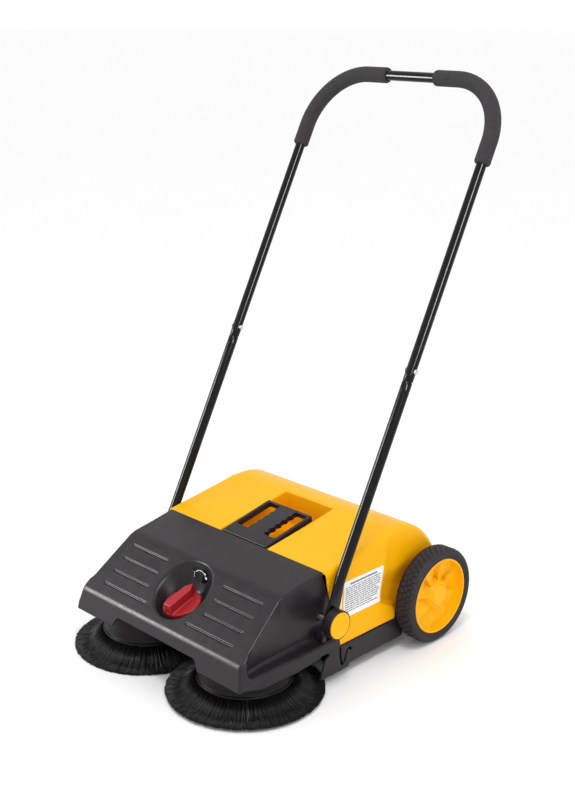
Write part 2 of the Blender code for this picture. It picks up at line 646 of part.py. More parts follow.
def make_knob(look):
    """Round red knob with a raised grip bar that ends in a point."""
    place = knob_frame()
    knob = turned("height_knob", [(0.0, -0.0085), (KNOB_RADIUS, -0.0085), (KNOB_RADIUS, -0.0010),
                                  (KNOB_RADIUS - 0.0012, 0.0), (0.0, 0.0)], (0, 0, 0), (0, 0, 1), None, 32)
    half, height = 0.0095, 0.0185
    bar = [(-half, -0.0335), (half, -0.0335), (half, 0.0200), (0.0, 0.0345), (-half, 0.0200)]
    join(knob, prism("grip_bar", bar, "Z", -0.004, height))
    cut(knob, rod("socket", 0.0055, (0, 0, -0.02), (0, 0, 0.004)))
    knob.data.transform(place)
    finish(knob, look["red"])
    stem = turned("knob_spindle", [(0.0, -0.0225), (0.0050, -0.0225), (0.0050, 0.0035), (0.0, 0.0035)],
                  (0, 0, 0), (0, 0, 1), None, 20)
    stem.data.transform(place)
    finish(stem, look["steel"])
    make_cam(place, look["nylon"])


def make_cam(place, look):
    """Face cam under the bowl; its lower face climbs as the knob turns."""
    top, deep, rise, steps = -0.0148, -0.0222, 0.0050, 32
    inner, outer = 0.0054, 0.0160
    columns = []
    for k in range(steps):
        turn = math.tau * k / steps
        turned_by = (steps - k) % steps
        share = min(turned_by / (steps * 0.75), 1.0, (steps - turned_by) / 4)
        low = deep + rise * share
        section = [(inner, top), (outer, top), (outer, low), (inner, low)]
        columns.append([Vector((r * math.cos(turn), r * math.sin(turn), h)) for r, h in section])
    cam = loft("lift_cam", columns, None, closed=True)
    cam.data.transform(place)
    finish(cam, look)


def make_lift_spring(look):
    """Coil that draws the deck up against the cam."""
    turns, radius, wire, low, high = 5, 0.0050, 0.0008, DECK_TOP + 0.0010, 0.1180
    count = turns * 8
    curve = bpy.data.curves.new("lift_spring", "CURVE")
    curve.dimensions = "3D"
    line = curve.splines.new("POLY")
    line.points.add(count)
    for k in range(count + 1):
        turn = math.tau * turns * k / count
        z = low + wire + (high - low) * k / count
        line.points[k].co = (radius * math.cos(turn), -0.1900 + radius * math.sin(turn), z, 1)
    curve.bevel_depth = wire
    curve.bevel_resolution = 0
    curve.use_fill_caps = True
    obj = bpy.data.objects.new("lift_spring", curve)
    obj.data.materials.append(look)
    bpy.context.collection.objects.link(obj)


# ---------------------------------------------------------------- handle
def handle_point(distance, x):
    """A point of the handle's plane, at a distance up from its pivot."""
    return Vector((x, PIVOT_Y + distance * math.sin(LEAN), PIVOT_Z + distance * math.cos(LEAN)))


def handle_ring(distance, x, half_x, half_y, steps, power=1.0):
    """A round or flattened cross-section square to the handle's leg."""
    back = Vector((0, math.cos(LEAN), -math.sin(LEAN)))
    ring = []
    for k in range(steps):
        turn = math.tau * (k + 0.5) / steps
        c, s = math.cos(turn), math.sin(turn)
        c = math.copysign(abs(c) ** power, c)
        s = math.copysign(abs(s) ** power, s)
        ring.append(handle_point(distance, x) + Vector((1, 0, 0)) * half_x * c + back * half_y * s)
    return ring


def leg_round(x, start, end, radius, steps=20):
    return [handle_ring(start, x, radius, radius, steps), handle_ring(end, x, radius, radius, steps)]


def make_lower_tube(label, side, look):
    steps = 12
    flat_x = side * 0.2300
    rings = []
    for distance, half in ((-0.0150, 0.0050), (-0.0125, 0.0095), (-0.0060, 0.0140), (0.0, 0.0150),
                           (0.0300, 0.0150)):
        rings.append(handle_ring(distance, flat_x, 0.0038, half, steps, 0.7))
    rings.append(handle_ring(0.0520, side * 0.2275, 0.0062, 0.0128, steps, 0.85))
    rings.append(handle_ring(0.0760, side * TUBE_X, TUBE_RADIUS, TUBE_RADIUS, steps))
    rings.append(handle_ring(TUBE_JOINT - 0.0004, side * TUBE_X, TUBE_RADIUS, TUBE_RADIUS, steps))
    tube = loft("lower_tube_" + label, rings)
    bore = loft("bore", leg_round(side * TUBE_X, 0.0850, TUBE_JOINT + 0.02, TUBE_RADIUS - TUBE_WALL, steps))
    pin = rod("pin", BOLT_RADIUS + FIT, (side * 0.220, PIVOT_Y, PIVOT_Z), (side * 0.240, PIVOT_Y, PIVOT_Z))
    cut(tube, bore, pin)
    finish(tube, look)


def bolt_line(side, distance, radius):
    start, end = handle_point(distance, side * 0.20), handle_point(distance, side * 0.25)
    return rod("bolt_line", radius, start, end, steps=16)


def bar_path(start, end_x):
    """Centre line of the top bar as (distance, x) with its direction, right side to end_x."""
    centre = (TUBE_X - CORNER_RADIUS, CORNER_START)
    path = [(start, TUBE_X, 0.0)]
    count = 8
    for k in range(count + 1):
        turn = math.pi / 2 * k / count
        path.append((centre[1] + CORNER_RADIUS * math.sin(turn),
                     centre[0] + CORNER_RADIUS * math.cos(turn), turn))
    if end_x < centre[0]:
        path.append((centre[1] + CORNER_RADIUS, end_x, math.pi / 2))
    return path


def bar_rings(path, radius, steps):
    """Round sections along the top bar's centre line."""
    back = Vector((0, math.cos(LEAN), -math.sin(LEAN)))
    along = Vector((0, math.sin(LEAN), math.cos(LEAN)))
    rings = []
    for distance, x, turn in path:
        outward = Vector((1, 0, 0)) * math.cos(turn) + along * math.sin(turn)
        centre = handle_point(distance, x)
        ring = []
        for k in range(steps):
            a = math.tau * (k + 0.5) / steps
            ring.append(centre + outward * radius * math.cos(a) + back * radius * math.sin(a))
        rings.append(ring)
    return rings


def mirror_path(path):
    """The same centre line carried on down the left side."""
    other = [(distance, -x, math.pi - turn) for distance, x, turn in reversed(path)]
    return path + other


def make_upper_tube(look):
    path = mirror_path(bar_path(TUBE_JOINT, 0.060)[:-1])
    tube = loft("upper_tube", bar_rings(path, TUBE_RADIUS, 12))
    longer = mirror_path(bar_path(TUBE_JOINT - 0.01, 0.060)[:-1])
    holes = [bolt_line(side, TUBE_JOINT + 0.020, 0.0032) for _, side in SIDES]
    cut(tube, loft("bore", bar_rings(longer, TUBE_RADIUS - TUBE_WALL, 12)), *holes)
    finish(tube, look)


def make_grip(label, side, look):
    path = bar_path(GRIP_START, GRIP_END_X)
    outer = bar_rings(path, GRIP_RADIUS, 12)
    inner = bar_rings(path, TUBE_RADIUS + FIT, 12)
    rings = outer + list(reversed(inner))
    for ring in rings:
        for point in ring:
            point.x *= side
    loft("foam_grip_" + label, rings, look, closed=True)


def make_handle_side(label, side, look):
    make_lower_tube(label, side, look["tube"])
    sleeve_radius = TUBE_RADIUS - TUBE_WALL - FIT
    sleeve = loft("joint_sleeve_" + label, leg_round(side * TUBE_X, TUBE_JOINT - 0.045,
                                                    TUBE_JOINT + 0.045, sleeve_radius, 16))
    cut(sleeve, bolt_line(side, TUBE_JOINT + 0.020, 0.0032))
    finish(sleeve, look["nylon"])
    start = handle_point(TUBE_JOINT + 0.020, side * (TUBE_X - 0.0125))
    bolt = [(0.0, 0.0), (0.0042, 0.0), (0.0048, 0.0024), (0.0027, 0.0026), (0.0027, 0.0225),
            (0.0052, 0.0227), (0.0045, 0.0245), (0.0, 0.0252)]
    turned("joint_bolt_" + label, bolt, start, (side, 0, 0), look["steel"], 16)
    pivot = (0, PIVOT_Y, PIVOT_Z)
    axis = (side, 0, 0)
    bore = BOLT_RADIUS + FIT
    boss = [(bore, 0.2343), (bore, 0.2498), (0.0112, 0.2498), (0.0112, 0.2536), (0.0244, 0.2536),
            (0.0244, 0.2568), (0.0265, 0.2568), (0.0265, 0.2400), (0.0235, 0.2343)]
    turned("pivot_boss_" + label, boss, pivot, axis, look["black"], 20)
    cap = [(0.0, 0.2540), (0.0240, 0.2540), (0.0240, 0.2575), (0.0232, 0.2583), (0.0, 0.2583)]
    turned("pivot_cap_" + label, cap, pivot, axis, look["yellow"], 24)
    bolt = [(0.0, 0.1810), (BOLT_RADIUS, 0.1810), (BOLT_RADIUS, 0.2502), (0.0105, 0.2502),
            (0.0105, 0.2532), (0.0, 0.2532)]
    turned("pivot_bolt_" + label, bolt, pivot, axis, look["steel"], 20)


# ---------------------------------------------------------------- whole sweeper
def main():
    clear_scene()
    look = {
        "black": material("black_plastic", (0.058, 0.050, 0.060), 0.45),
        "yellow": material("yellow_plastic", (1.0, 0.52, 0.02), 0.35),
        "red": material("red_plastic", (0.60, 0.03, 0.045), 0.35),
        "tyre": material("tyre_plastic", (0.042, 0.036, 0.038), 0.6),
        "tube": material("black_tube", (0.02, 0.018, 0.02), 0.2),
        "foam": material("foam", (0.035, 0.032, 0.035), 0.9),
        "steel": material("steel", (0.55, 0.55, 0.56), 0.3, 1.0),
        "nylon": material("nylon", (0.60, 0.58, 0.54), 0.5),
        "rubber": material("rubber", (0.03, 0.03, 0.03), 0.8),
        "bristle": material("bristle", (0.015, 0.014, 0.016), 0.6),
    }
    make_hood(look["black"])
    make_base(look["black"])
    make_cover(look["yellow"])
    make_tub(look["black"], look["rubber"])
    make_carry_plate(look["black"])
    make_deck(look["black"])
    make_knob(look)
    make_lift_spring(look["steel"])
    make_upper_tube(look["tube"])
    for label, side in SIDES:
        make_wheel(label, side, look)
        make_belt(label, side, look["rubber"])
        make_shaft(label, side, look)
        make_bearing_blocks(label, side, look["nylon"])
        make_brush(label, side, look)
        make_handle_side(label, side, look)
        make_grip(label, side, look["foam"])


main()
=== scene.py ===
import json
import math

import bmesh
import bpy
import numpy as np
from mathutils import Matrix, Vector


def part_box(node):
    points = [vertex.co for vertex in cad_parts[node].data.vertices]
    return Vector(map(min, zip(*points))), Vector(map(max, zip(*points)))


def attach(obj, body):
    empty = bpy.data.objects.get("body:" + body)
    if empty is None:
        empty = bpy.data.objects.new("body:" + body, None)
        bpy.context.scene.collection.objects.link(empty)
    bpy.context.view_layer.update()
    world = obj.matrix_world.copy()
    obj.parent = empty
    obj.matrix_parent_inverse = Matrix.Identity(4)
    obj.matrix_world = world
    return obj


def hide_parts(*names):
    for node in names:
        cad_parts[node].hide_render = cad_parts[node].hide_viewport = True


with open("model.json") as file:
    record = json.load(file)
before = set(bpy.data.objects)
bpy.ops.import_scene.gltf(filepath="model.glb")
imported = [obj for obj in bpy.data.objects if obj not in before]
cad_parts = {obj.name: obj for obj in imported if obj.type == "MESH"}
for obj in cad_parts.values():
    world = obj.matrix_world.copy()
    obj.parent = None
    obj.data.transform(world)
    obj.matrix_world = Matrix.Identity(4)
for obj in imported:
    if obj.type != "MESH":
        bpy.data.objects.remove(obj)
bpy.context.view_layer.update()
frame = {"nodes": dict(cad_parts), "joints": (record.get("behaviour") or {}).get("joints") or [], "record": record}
SIDES = (("left", -1), ("right", 1))


# ------------ places from the frame
def middle(node):
    """The middle of a CAD node's box."""
    low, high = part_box(node)
    return (Vector(low) + Vector(high)) / 2


WHEEL = middle("tyre_right")                     # middle of the right tyre
WHEEL_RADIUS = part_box("tyre_right")[1][2] - WHEEL.z
BRUSH = middle("bristle_ring_right")             # x and y of the right brush axis
BRUSH_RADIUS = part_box("bristle_ring_right")[1][0] - BRUSH.x
PIVOT = middle("pivot_boss_right")
KNOB = Vector(next(j for j in frame["joints"] if j["name"] == "knob_turn")["pos_m"])
KNOB_TILT = math.radians(18.3)
LEAN = math.radians(27.3)


# ------------ distance fields
def fillet_max(a, b, r):
    """Where both are solid, with the meeting edge rounded to radius r."""
    bent = np.hypot(np.maximum(a + r, 0), np.maximum(b + r, 0))
    return np.minimum(np.maximum(a, b), -r) + bent


def fillet_min(a, b, r):
    """Where either is solid, with the inside corner rounded to radius r."""
    bent = np.hypot(np.maximum(r - a, 0), np.maximum(r - b, 0))
    return np.maximum(np.minimum(a, b), r) - bent


def ramp(value, low, high):
    """0 below low, 1 above high, smooth between."""
    t = np.clip((value - low) / (high - low), 0, 1)
    return t * t * (3 - 2 * t)


def folded(p):
    """The points with the left half laid over the right."""
    return np.stack([np.abs(p[:, 0]), p[:, 1], p[:, 2]], 1)


def segment(p, a, b):
    """Distance to the straight line from a to b."""
    a, b = np.asarray(a, float), np.asarray(b, float)
    along = b - a
    t = np.clip(((p - a) @ along) / (along @ along), 0, 1)
    return np.linalg.norm(p - a - t[:, None] * along, axis=1)


def box_field(p, low, high, r):
    """A box with rounded edges."""
    low, high = np.asarray(low, float), np.asarray(high, float)
    q = np.abs(p - (low + high) / 2) - (high - low) / 2 + r
    return np.linalg.norm(np.maximum(q, 0), axis=1) + np.minimum(q.max(axis=1), 0) - r


def slope_of(field, p, reach=1e-4):
    """The field's gradient at each point."""
    found = np.empty_like(p)
    for axis in range(3):
        shift = np.zeros(3)
        shift[axis] = reach
        found[:, axis] = (field(p + shift) - field(p - shift)) / (2 * reach)
    return found


def sampled(field, low, high, step):
    """The field on a grid, worked out exactly only near the surface."""
    block = 4
    count = np.ceil((np.asarray(high) - low) / (step * block)).astype(int)
    centres = (np.indices(count).reshape(3, -1).T + 0.5) * step * block + low
    coarse = field(centres).reshape(count)
    values = coarse
    for axis in range(3):
        values = np.repeat(values, block, axis=axis)
    values = np.pad(values, ((0, 1),) * 3, mode="edge")
    near = np.argwhere(np.abs(coarse) < 5.0 * step)
    offsets = np.indices((block + 1,) * 3).reshape(3, -1).T
    wanted = (near[:, None, :] * block + offsets[None]).reshape(-1, 3)
    flat = np.unique(np.ravel_multi_index(wanted.T, values.shape))
    points = np.stack(np.unravel_index(flat, values.shape), axis=1) * step + low
    values.reshape(-1)[flat] = field(points)
    return values


def skin(values, low, step):
    """Quads round the inside of a sampled field: one point in each cell that it crosses."""
    inside = values < 0
    corners = [(i, j, k) for i in (0, 1) for j in (0, 1) for k in (0, 1)]
    n = [s - 1 for s in values.shape]
    count = sum(inside[i:n[0] + i, j:n[1] + j, k:n[2] + k].astype(np.int8) for i, j, k in corners)
    cells = np.argwhere((count > 0) & (count < 8))
    ids = np.full(n, -1, np.int64)
    ids[tuple(cells.T)] = np.arange(len(cells))
    total, hits = np.zeros((len(cells), 3)), np.zeros(len(cells))
    for a in corners:
        for axis in range(3):
            if a[axis]:
                continue
            b = tuple(1 if m == axis else a[m] for m in range(3))
            va = values[tuple((cells + a).T)]
            vb = values[tuple((cells + b).T)]
            cross = (va < 0) != (vb < 0)
            t = np.where(cross, va / np.where(cross, va - vb, 1), 0)
            place = np.asarray(a, float) + t[:, None] * (np.asarray(b) - np.asarray(a))
            total += place * cross[:, None]
            hits += cross
    points = (cells + total / hits[:, None]) * step + low
    faces = []
    for axis in range(3):
        u, v = (axis + 1) % 3, (axis + 2) % 3
        first = [slice(None)] * 3
        second = [slice(None)] * 3
        first[axis], second[axis] = slice(0, -1), slice(1, None)
        here = inside[tuple(first)]
        change = np.argwhere(here != inside[tuple(second)])
        change = change[(change[:, u] > 0) & (change[:, v] > 0)
                        & (change[:, u] < n[u]) & (change[:, v] < n[v])]
        ring = []
        for du, dv in ((-1, -1), (0, -1), (0, 0), (-1, 0)):
            cell = change.copy()
            cell[:, u] += du
            cell[:, v] += dv
            ring.append(ids[tuple(cell.T)])
        quad = np.stack(ring, axis=1)
        flip = ~here[tuple(change.T)]
        quad[flip] = quad[flip][:, ::-1]
        faces.append(quad)
    return points, np.concatenate(faces)


def moulded(name, field, low, high, step):
    """A smooth closed piece from a distance field, with exact normals."""
    low = np.asarray(low, float)
    points, faces = skin(sampled(field, low, high, step), low, step)
    for _ in range(4):
        grad = slope_of(field, points)
        move = field(points)[:, None] * grad / np.maximum((grad * grad).sum(1), 0.2)[:, None]
        size = np.linalg.norm(move, axis=1, keepdims=True)
        points -= move * np.minimum(1, 0.5 * step / np.maximum(size, 1e-12))
    mesh = bpy.data.meshes.new(name)
    mesh.from_pydata(points.tolist(), [], faces.tolist())
    return placed(name, mesh, field)


def placed(name, mesh, field=None):
    """Link a mesh as an object, shaded smooth."""
    mesh.shade_smooth()
    if field is not None:
        at = np.empty(len(mesh.vertices) * 3)
        mesh.vertices.foreach_get("co", at)
        grad = slope_of(field, at.reshape(-1, 3).astype(float))
        grad /= np.maximum(np.linalg.norm(grad, axis=1, keepdims=True), 1e-9)
        mesh.normals_split_custom_set_from_vertices(grad.tolist())
    obj = bpy.data.objects.new(name, mesh)
    bpy.context.collection.objects.link(obj)
    return obj


# ------------ front hood
# y, z and half width of the hood's top at its front edge, at its bend and at its rear edge
FRONT, BEND, REAR = (-0.3098, 0.1110, 0.2155), (-0.2016, 0.1945, 0.2010), (-0.1033, 0.2099, 0.2030)
WALL, COVER_WALL = 0.0042, 0.0050
SEAM_Z = [0.030, 0.062, 0.155, 0.175, 0.230]       # the seam between hood and cover, from the side
SEAM_Y = [-0.0734, -0.0734, -0.0918, -0.0970, -0.1033]
SEAM_GAP = 0.0006
SIDE_FOOT_X, SIDE_FOOT_Z = 0.2008, 0.0830          # where the leaning side starts
SIDE_FLARE = 0.0092                                # how far that side swells just ahead of the seam
LEDGE_X, LEDGE_Z, FLANK_X = 0.2235, 0.0835, 0.2247  # ledge below the side, and the skirt's half width
NOSE_Y = -0.2990                                   # the full-width nose is ahead of this
HOOD_FOOT_Y = [-0.335, -0.306, -0.270, -0.184, -0.127, -0.1235, -0.06]
HOOD_FOOT_Z = [0.068, 0.068, 0.0555, 0.0545, 0.0598, 0.0622, 0.0624]
NOTCH_X, NOTCH_Z, NOTCH_Y = 0.105, 0.0870, -0.292  # the front band's middle is cut away below this
BOWL_FLOOR, BOWL_MOUTH = 0.0392, (0.0560, 0.0610)  # radius round the knob, half axes at the slope
BOWL_DEPTH, BOWL_UP = 0.0100, 0.0786               # below the knob's seat, and along the slope
SLOPE = np.array([0, BEND[0] - FRONT[0], BEND[1] - FRONT[1]])
SLOPE /= np.linalg.norm(SLOPE)
SLOPE_OUT = np.array([0, -SLOPE[2], SLOPE[1]])
SLOPE_FOOT = np.array([0, FRONT[0], FRONT[1]])
GROOVE_RADIUS = 0.0023
# each groove's inner end, outer end and place along the slope
GROOVES = ((0.077, 0.173, 0.1130), (0.077, 0.173, 0.0835), (0.077, 0.173, 0.0535), (0.056, 0.172, 0.0245))


def plane_yz(p, a, b):
    """Signed distance to the plane through a and b (y, z), positive above it."""
    dy, dz = b[0] - a[0], b[1] - a[1]
    size = math.hypot(dy, dz)
    return (-(p[:, 1] - a[0]) * dz + (p[:, 2] - a[1]) * dy) / size


def hood_top(p):
    """The slanted face and the flatter top behind it."""
    return fillet_max(plane_yz(p, FRONT, BEND), plane_yz(p, BEND, REAR), 0.0050)


def hood_core(p):
    """The hood's outside with nothing cut from it."""
    x, y, z = folded(p).T
    stations, heights, halves = zip(FRONT, BEND, REAR)
    crest, top_half = np.interp(y, stations, heights), np.interp(y, stations, halves)
    foot = SIDE_FOOT_X + 0.004 * ramp(-y, 0.24, 0.30)
    rise = np.clip((z - SIDE_FOOT_Z) / np.maximum(crest - SIDE_FOOT_Z, 0.02), -0.3, 1.1)
    swell = ramp(y, -0.150, -0.100) * ramp(z, 0.094, 0.125) * (1 - 0.85 * ramp(z, 0.165, 0.208))
    side = x - (foot + (top_half - foot) * rise + SIDE_FLARE * swell)
    ledge = z - (LEDGE_Z + (LEDGE_X - x) * 0.17)
    body = fillet_min(side, ledge, 0.006)
    body = fillet_min(body, y - NOSE_Y, 0.016)
    flank = x - (FLANK_X - np.clip(z - 0.080, 0, 0.031) * 0.26)
    front = -((y - FRONT[0]) * 0.9714 - (z - FRONT[1]) * 0.2372) - 0.0010
    body = fillet_max(body, flank, 0.0035)
    body = fillet_max(body, front, 0.0065)
    return fillet_max(body, hood_top(p), 0.0036)


def bowl(p):
    """Air in the bowl round the knob: round at its floor, oval where it meets the slope."""
    axis = np.array([0, -math.sin(KNOB_TILT), math.cos(KNOB_TILT)])
    across = np.array([0, math.cos(KNOB_TILT), math.sin(KNOB_TILT)])
    mouth = SLOPE_FOOT + SLOPE * BOWL_UP
    floor = np.array(KNOB) - axis * BOWL_DEPTH
    above = (p - floor) @ axis
    below = -((p - mouth) @ SLOPE_OUT)
    t = np.clip(above / np.maximum(above + below, 0.004), -0.2, 1.6)
    centre = floor + t[:, None] * (mouth - floor)
    v = ((p - centre) * (across + t[:, None] * (SLOPE - across))).sum(1)
    half_x, half_v = (BOWL_FLOOR + (half - BOWL_FLOOR) * t for half in BOWL_MOUTH)
    radial = (np.hypot(p[:, 0] / half_x, v / half_v) - 1) * np.minimum(half_x, half_v)
    return fillet_max(radial, -above, 0.003)


def hood_grooves(p):
    """Four slim rounded slots on each side of the slanted face."""
    q = folded(p)
    found = []
    for inner, outer, along in GROOVES:
        base = SLOPE_FOOT + SLOPE * along + SLOPE_OUT * 0.0004
        found.append(segment(q, base + [inner, 0, 0], base + [outer, 0, 0]))
    return np.min(found, axis=0) - GROOVE_RADIUS


def hood_field(p):
    """The hood: a thin shell with its bowl, grooves, foot and pivot bolt hole."""
    x, y, z = folded(p).T
    core = hood_core(p)
    air = bowl(p)
    grooves = hood_grooves(p)
    inner = fillet_max(core + WALL, -(np.minimum(air, grooves) - WALL), 0.002)
    body = fillet_max(core, -air, 0.0045)
    body = fillet_max(body, -grooves, 0.0008)
    body = fillet_max(body, -inner, 0.0008)
    body = fillet_max(body, y - np.interp(z, SEAM_Z, SEAM_Y), 0.0010)
    body = fillet_max(body, np.interp(y, HOOD_FOOT_Y, HOOD_FOOT_Z) - z, 0.0010)
    notch = fillet_max(x - (NOTCH_X + (NOTCH_Z - z) * 0.68), z - NOTCH_Z, 0.003)
    body = fillet_max(body, -np.maximum(notch, y - NOTCH_Y), 0.0010)
    bolt = np.hypot(y - PIVOT.y, z - PIVOT.z) - 0.0066
    return np.maximum(body, -bolt)


# ------------ container cover
CROWN_START, CROWN_LENGTH, CROWN_DROP, TOP_SLOPE = 0.0700, 0.1666, 0.2000, 0.150
FOOT_REAR, FOOT_Z = 0.0860, 0.062                  # the wide front's lowest stretch ends here
WIDE_X, NARROW_X, BODY_REAR = 0.2200, 0.2010, 0.2345  # half widths beside the tubes and the wheels
TUBE_CHANNEL_X = 0.2132                            # flat beside the tube's foot
POCKET_X, POCKET_Y, POCKET_Z = 0.063, 0.078, 0.170  # half width, rear wall and floor of the hand pocket
AXLE_SLOT, SLOT_INNER_X = 0.0095, 0.15


def crown(p):
    """Flat top that falls away to the rear as an oval."""
    y, z = p[:, 1], p[:, 2]
    level = REAR[1] + TOP_SLOPE * (CROWN_START - REAR[0])
    flat = (z - REAR[1] - TOP_SLOPE * (y - REAR[0])) * math.cos(math.atan(TOP_SLOPE))
    along = np.maximum(y - CROWN_START, 0)
    height = CROWN_DROP + TOP_SLOPE * along
    u, w = along / CROWN_LENGTH, np.maximum(z - level + CROWN_DROP, 0) / height
    far = np.hypot(u, w)
    oval = (far - 1) * far / np.maximum(np.hypot(u / CROWN_LENGTH, w / height), 1e-3)
    return np.where(y < CROWN_START, flat, oval) - 0.0018 * ramp(y, 0.030, 0.100)


def cover_outside(p):
    """Wide front block between the tubes, stepping in to a narrow rear block between the wheels."""
    x, y, z = folded(p).T
    wide = x - (WIDE_X - (z - FOOT_Z) * 0.0636 - 0.0031 * ramp(z, 0.085, 0.125))
    channel = TUBE_CHANNEL_X + 0.02 * np.maximum(ramp(y, -0.0590, -0.0500), ramp(-z, -0.104, -0.094))
    wide = fillet_max(wide, x - channel, 0.001)
    narrow = x - (NARROW_X - (z - FOOT_Z) * 0.02 + 0.0105 * ramp(z, 0.118, 0.165))
    narrow = fillet_max(narrow, y - BODY_REAR, 0.025)
    upright = ramp(z, 0.078, 0.106)
    step = (y - FOOT_REAR * (1 - upright) - (0.0435 + (z - FOOT_Z) * 0.147) * upright) * 0.75
    flank = fillet_min(fillet_max(wide, step, 0.007), narrow, 0.014)
    return fillet_max(crown(p), flank, 0.010)


def cover_field(p):
    """The container's cover: a thin shell with the hand pocket and the slots over the axles."""
    x, y, z = folded(p).T
    outer = cover_outside(p)
    pocket = box_field(p, (-POCKET_X, -0.30, POCKET_Z), (POCKET_X, POCKET_Y, 0.40), 0.004)
    inner = fillet_max(outer + COVER_WALL, -(pocket - COVER_WALL), 0.002)
    body = fillet_max(outer, -pocket, 0.0025)
    body = fillet_max(body, -inner, 0.0008)
    body = fillet_max(body, np.interp(z, SEAM_Z, SEAM_Y) + SEAM_GAP - y, 0.0010)
    body = fillet_max(body, 0.0624 - z, 0.0008)
    slot = np.maximum(np.abs(y - WHEEL.y) - AXLE_SLOT, z - WHEEL.z)
    slot = np.minimum(slot, np.hypot(y - WHEEL.y, z - WHEEL.z) - AXLE_SLOT)
    return np.maximum(body, -np.maximum(slot, SLOT_INNER_X - x))


# ------------ base chassis
BASE_WIDE, BASE_NARROW, BASE_STEP = 0.2220, 0.2005, 0.1020
BASE_TOP, BASE_UNDER, TRAY_FLOOR = 0.0617, 0.0120, 0.0220
TOE_Z = [0.0, 0.0120, 0.0490, 0.0550, 0.0600, 0.0700]   # the front edge, from the side
TOE_Y = [-0.1275, -0.1240, -0.1095, -0.0970, -0.1060, -0.1180]
LATCH_SLOT = 0.0018
# the slot that frees the moulded snap tongue: down, round its foot and up into a hook, as y and z
LATCH = ((-0.0722, 0.0640), (-0.0712, 0.0500), (-0.0690, 0.0300), (-0.0665, 0.0245), (-0.0630, 0.0240),
         (-0.0600, 0.0270), (-0.0560, 0.0400), (-0.0530, 0.0470), (-0.0490, 0.0500), (-0.0450, 0.0490),
         (-0.0430, 0.0455))


def base_plan(p):
    """The base seen from above: wide at the front, narrow between the wheels."""
    x, y = np.abs(p[:, 0]), p[:, 1]
    wide = fillet_max(x - BASE_WIDE, y - BASE_STEP, 0.004)
    narrow = fillet_max(x - BASE_NARROW, y - BODY_REAR, 0.034)
    return fillet_min(wide, narrow, 0.006)


def latch_path(p):
    """The S-shaped slot beside the snap tongue."""
    q = p * [0, 1, 1]
    return np.min([segment(q, (0, *a), (0, *b)) for a, b in zip(LATCH, LATCH[1:])], axis=0) - LATCH_SLOT


def base_field(p):
    """The base: an open tray with pivot posts, arms, and ears that hold the wheel bearings."""
    half = folded(p)
    x, y, z = half.T
    plan = base_plan(p)
    floor = BASE_UNDER + 0.0070 * ramp(y, -0.0500, -0.0455)
    body = fillet_max(plan, floor - z, 0.002)
    body = fillet_max(body, z - BASE_TOP, 0.0008)
    inside = fillet_max(plan + WALL, TRAY_FLOOR - z, 0.001)
    inside = np.minimum(inside, np.maximum(plan + WALL, y + 0.0680))
    body = fillet_max(body, -inside, 0.0008)
    body = np.maximum(body, -latch_path(p))
    body = fillet_max(body, np.interp(z, TOE_Z, TOE_Y) - y, 0.0010)
    post = box_field(half, (0.1885, -0.1240, 0.0450), (0.1960, -0.0760, 0.1450), 0.002)
    arm = box_field(half, (0.1930, -0.0990, 0.0465), (0.2206, -0.0770, 0.0590), 0.001)
    foot = box_field(half, (0.1960, 0.1420, 0.0250), (0.2098, 0.1850, 0.0600), 0.002)
    reach = np.hypot(y - WHEEL.y, np.maximum(z - WHEEL.z, 0)) - 0.0222
    ear = fillet_max(np.maximum(reach, 0.050 - z), np.abs(x - 0.2070) - 0.0030, 0.001)
    body = fillet_min(body, fillet_min(post, arm, 0.002), 0.002)
    body = fillet_min(body, fillet_min(foot, ear, 0.002), 0.002)
    bearing = np.maximum(np.hypot(y - WHEEL.y, z - WHEEL.z) - 0.0144, np.abs(x - 0.205) - 0.012)
    bolt = np.maximum(np.hypot(y - PIVOT.y, z - PIVOT.z) - 0.0064, np.abs(x - 0.19) - 0.02)
    return np.maximum(body, -np.minimum(bearing, bolt))


# ------------ turned and swept pieces
def rounded(outline, r, count, closed=True):
    """A closed or open outline with its corners rounded by up to r."""
    points = [np.array(p, float) for p in outline]
    made = []
    for k, here in enumerate(points):
        if not closed and k in (0, len(points) - 1):
            made.append(here)
            continue
        before, after = points[k - 1], points[(k + 1) % len(points)]
        a, b = before - here, after - here
        la, lb = np.linalg.norm(a), np.linalg.norm(b)
        cut = min(r, 0.45 * la, 0.45 * lb)
        start, end = here + a / la * cut, here + b / lb * cut
        for m in range(count + 1):
            t = m / count
            made.append((1 - t) ** 2 * start + 2 * t * (1 - t) * here + t * t * end)
    return made


def squared(mesh):
    """Weld doubled points and turn every face outwards."""
    body = bmesh.new()
    body.from_mesh(mesh)
    bmesh.ops.remove_doubles(body, verts=body.verts, dist=1e-7)
    bmesh.ops.recalc_face_normals(body, faces=body.faces)
    body.to_mesh(mesh)
    body.free()


def ring_mesh(name, rings, closed=False):
    """Rings of points joined into one closed skin; ends capped unless the rings close up."""
    rings = np.asarray(rings, float)
    n, m = rings.shape[:2]
    points = rings.reshape(-1, 3)
    i, j = np.meshgrid(np.arange(n if closed else n - 1), np.arange(m), indexing="ij")
    nexti, nextj = (i + 1) % n, (j + 1) % m
    faces = np.stack([i * m + j, i * m + nextj, nexti * m + nextj, nexti * m + j], -1).reshape(-1, 4).tolist()
    points = points.tolist()
    if not closed:
        for row, flip in ((0, True), (n - 1, False)):
            centre = len(points)
            points.append(rings[row].mean(axis=0).tolist())
            for k in range(m):
                edge = [row * m + k, row * m + (k + 1) % m, centre]
                faces.append(edge[::-1] if flip else edge)
    mesh = bpy.data.meshes.new(name)
    mesh.from_pydata(points, [], faces)
    squared(mesh)
    return placed(name, mesh)


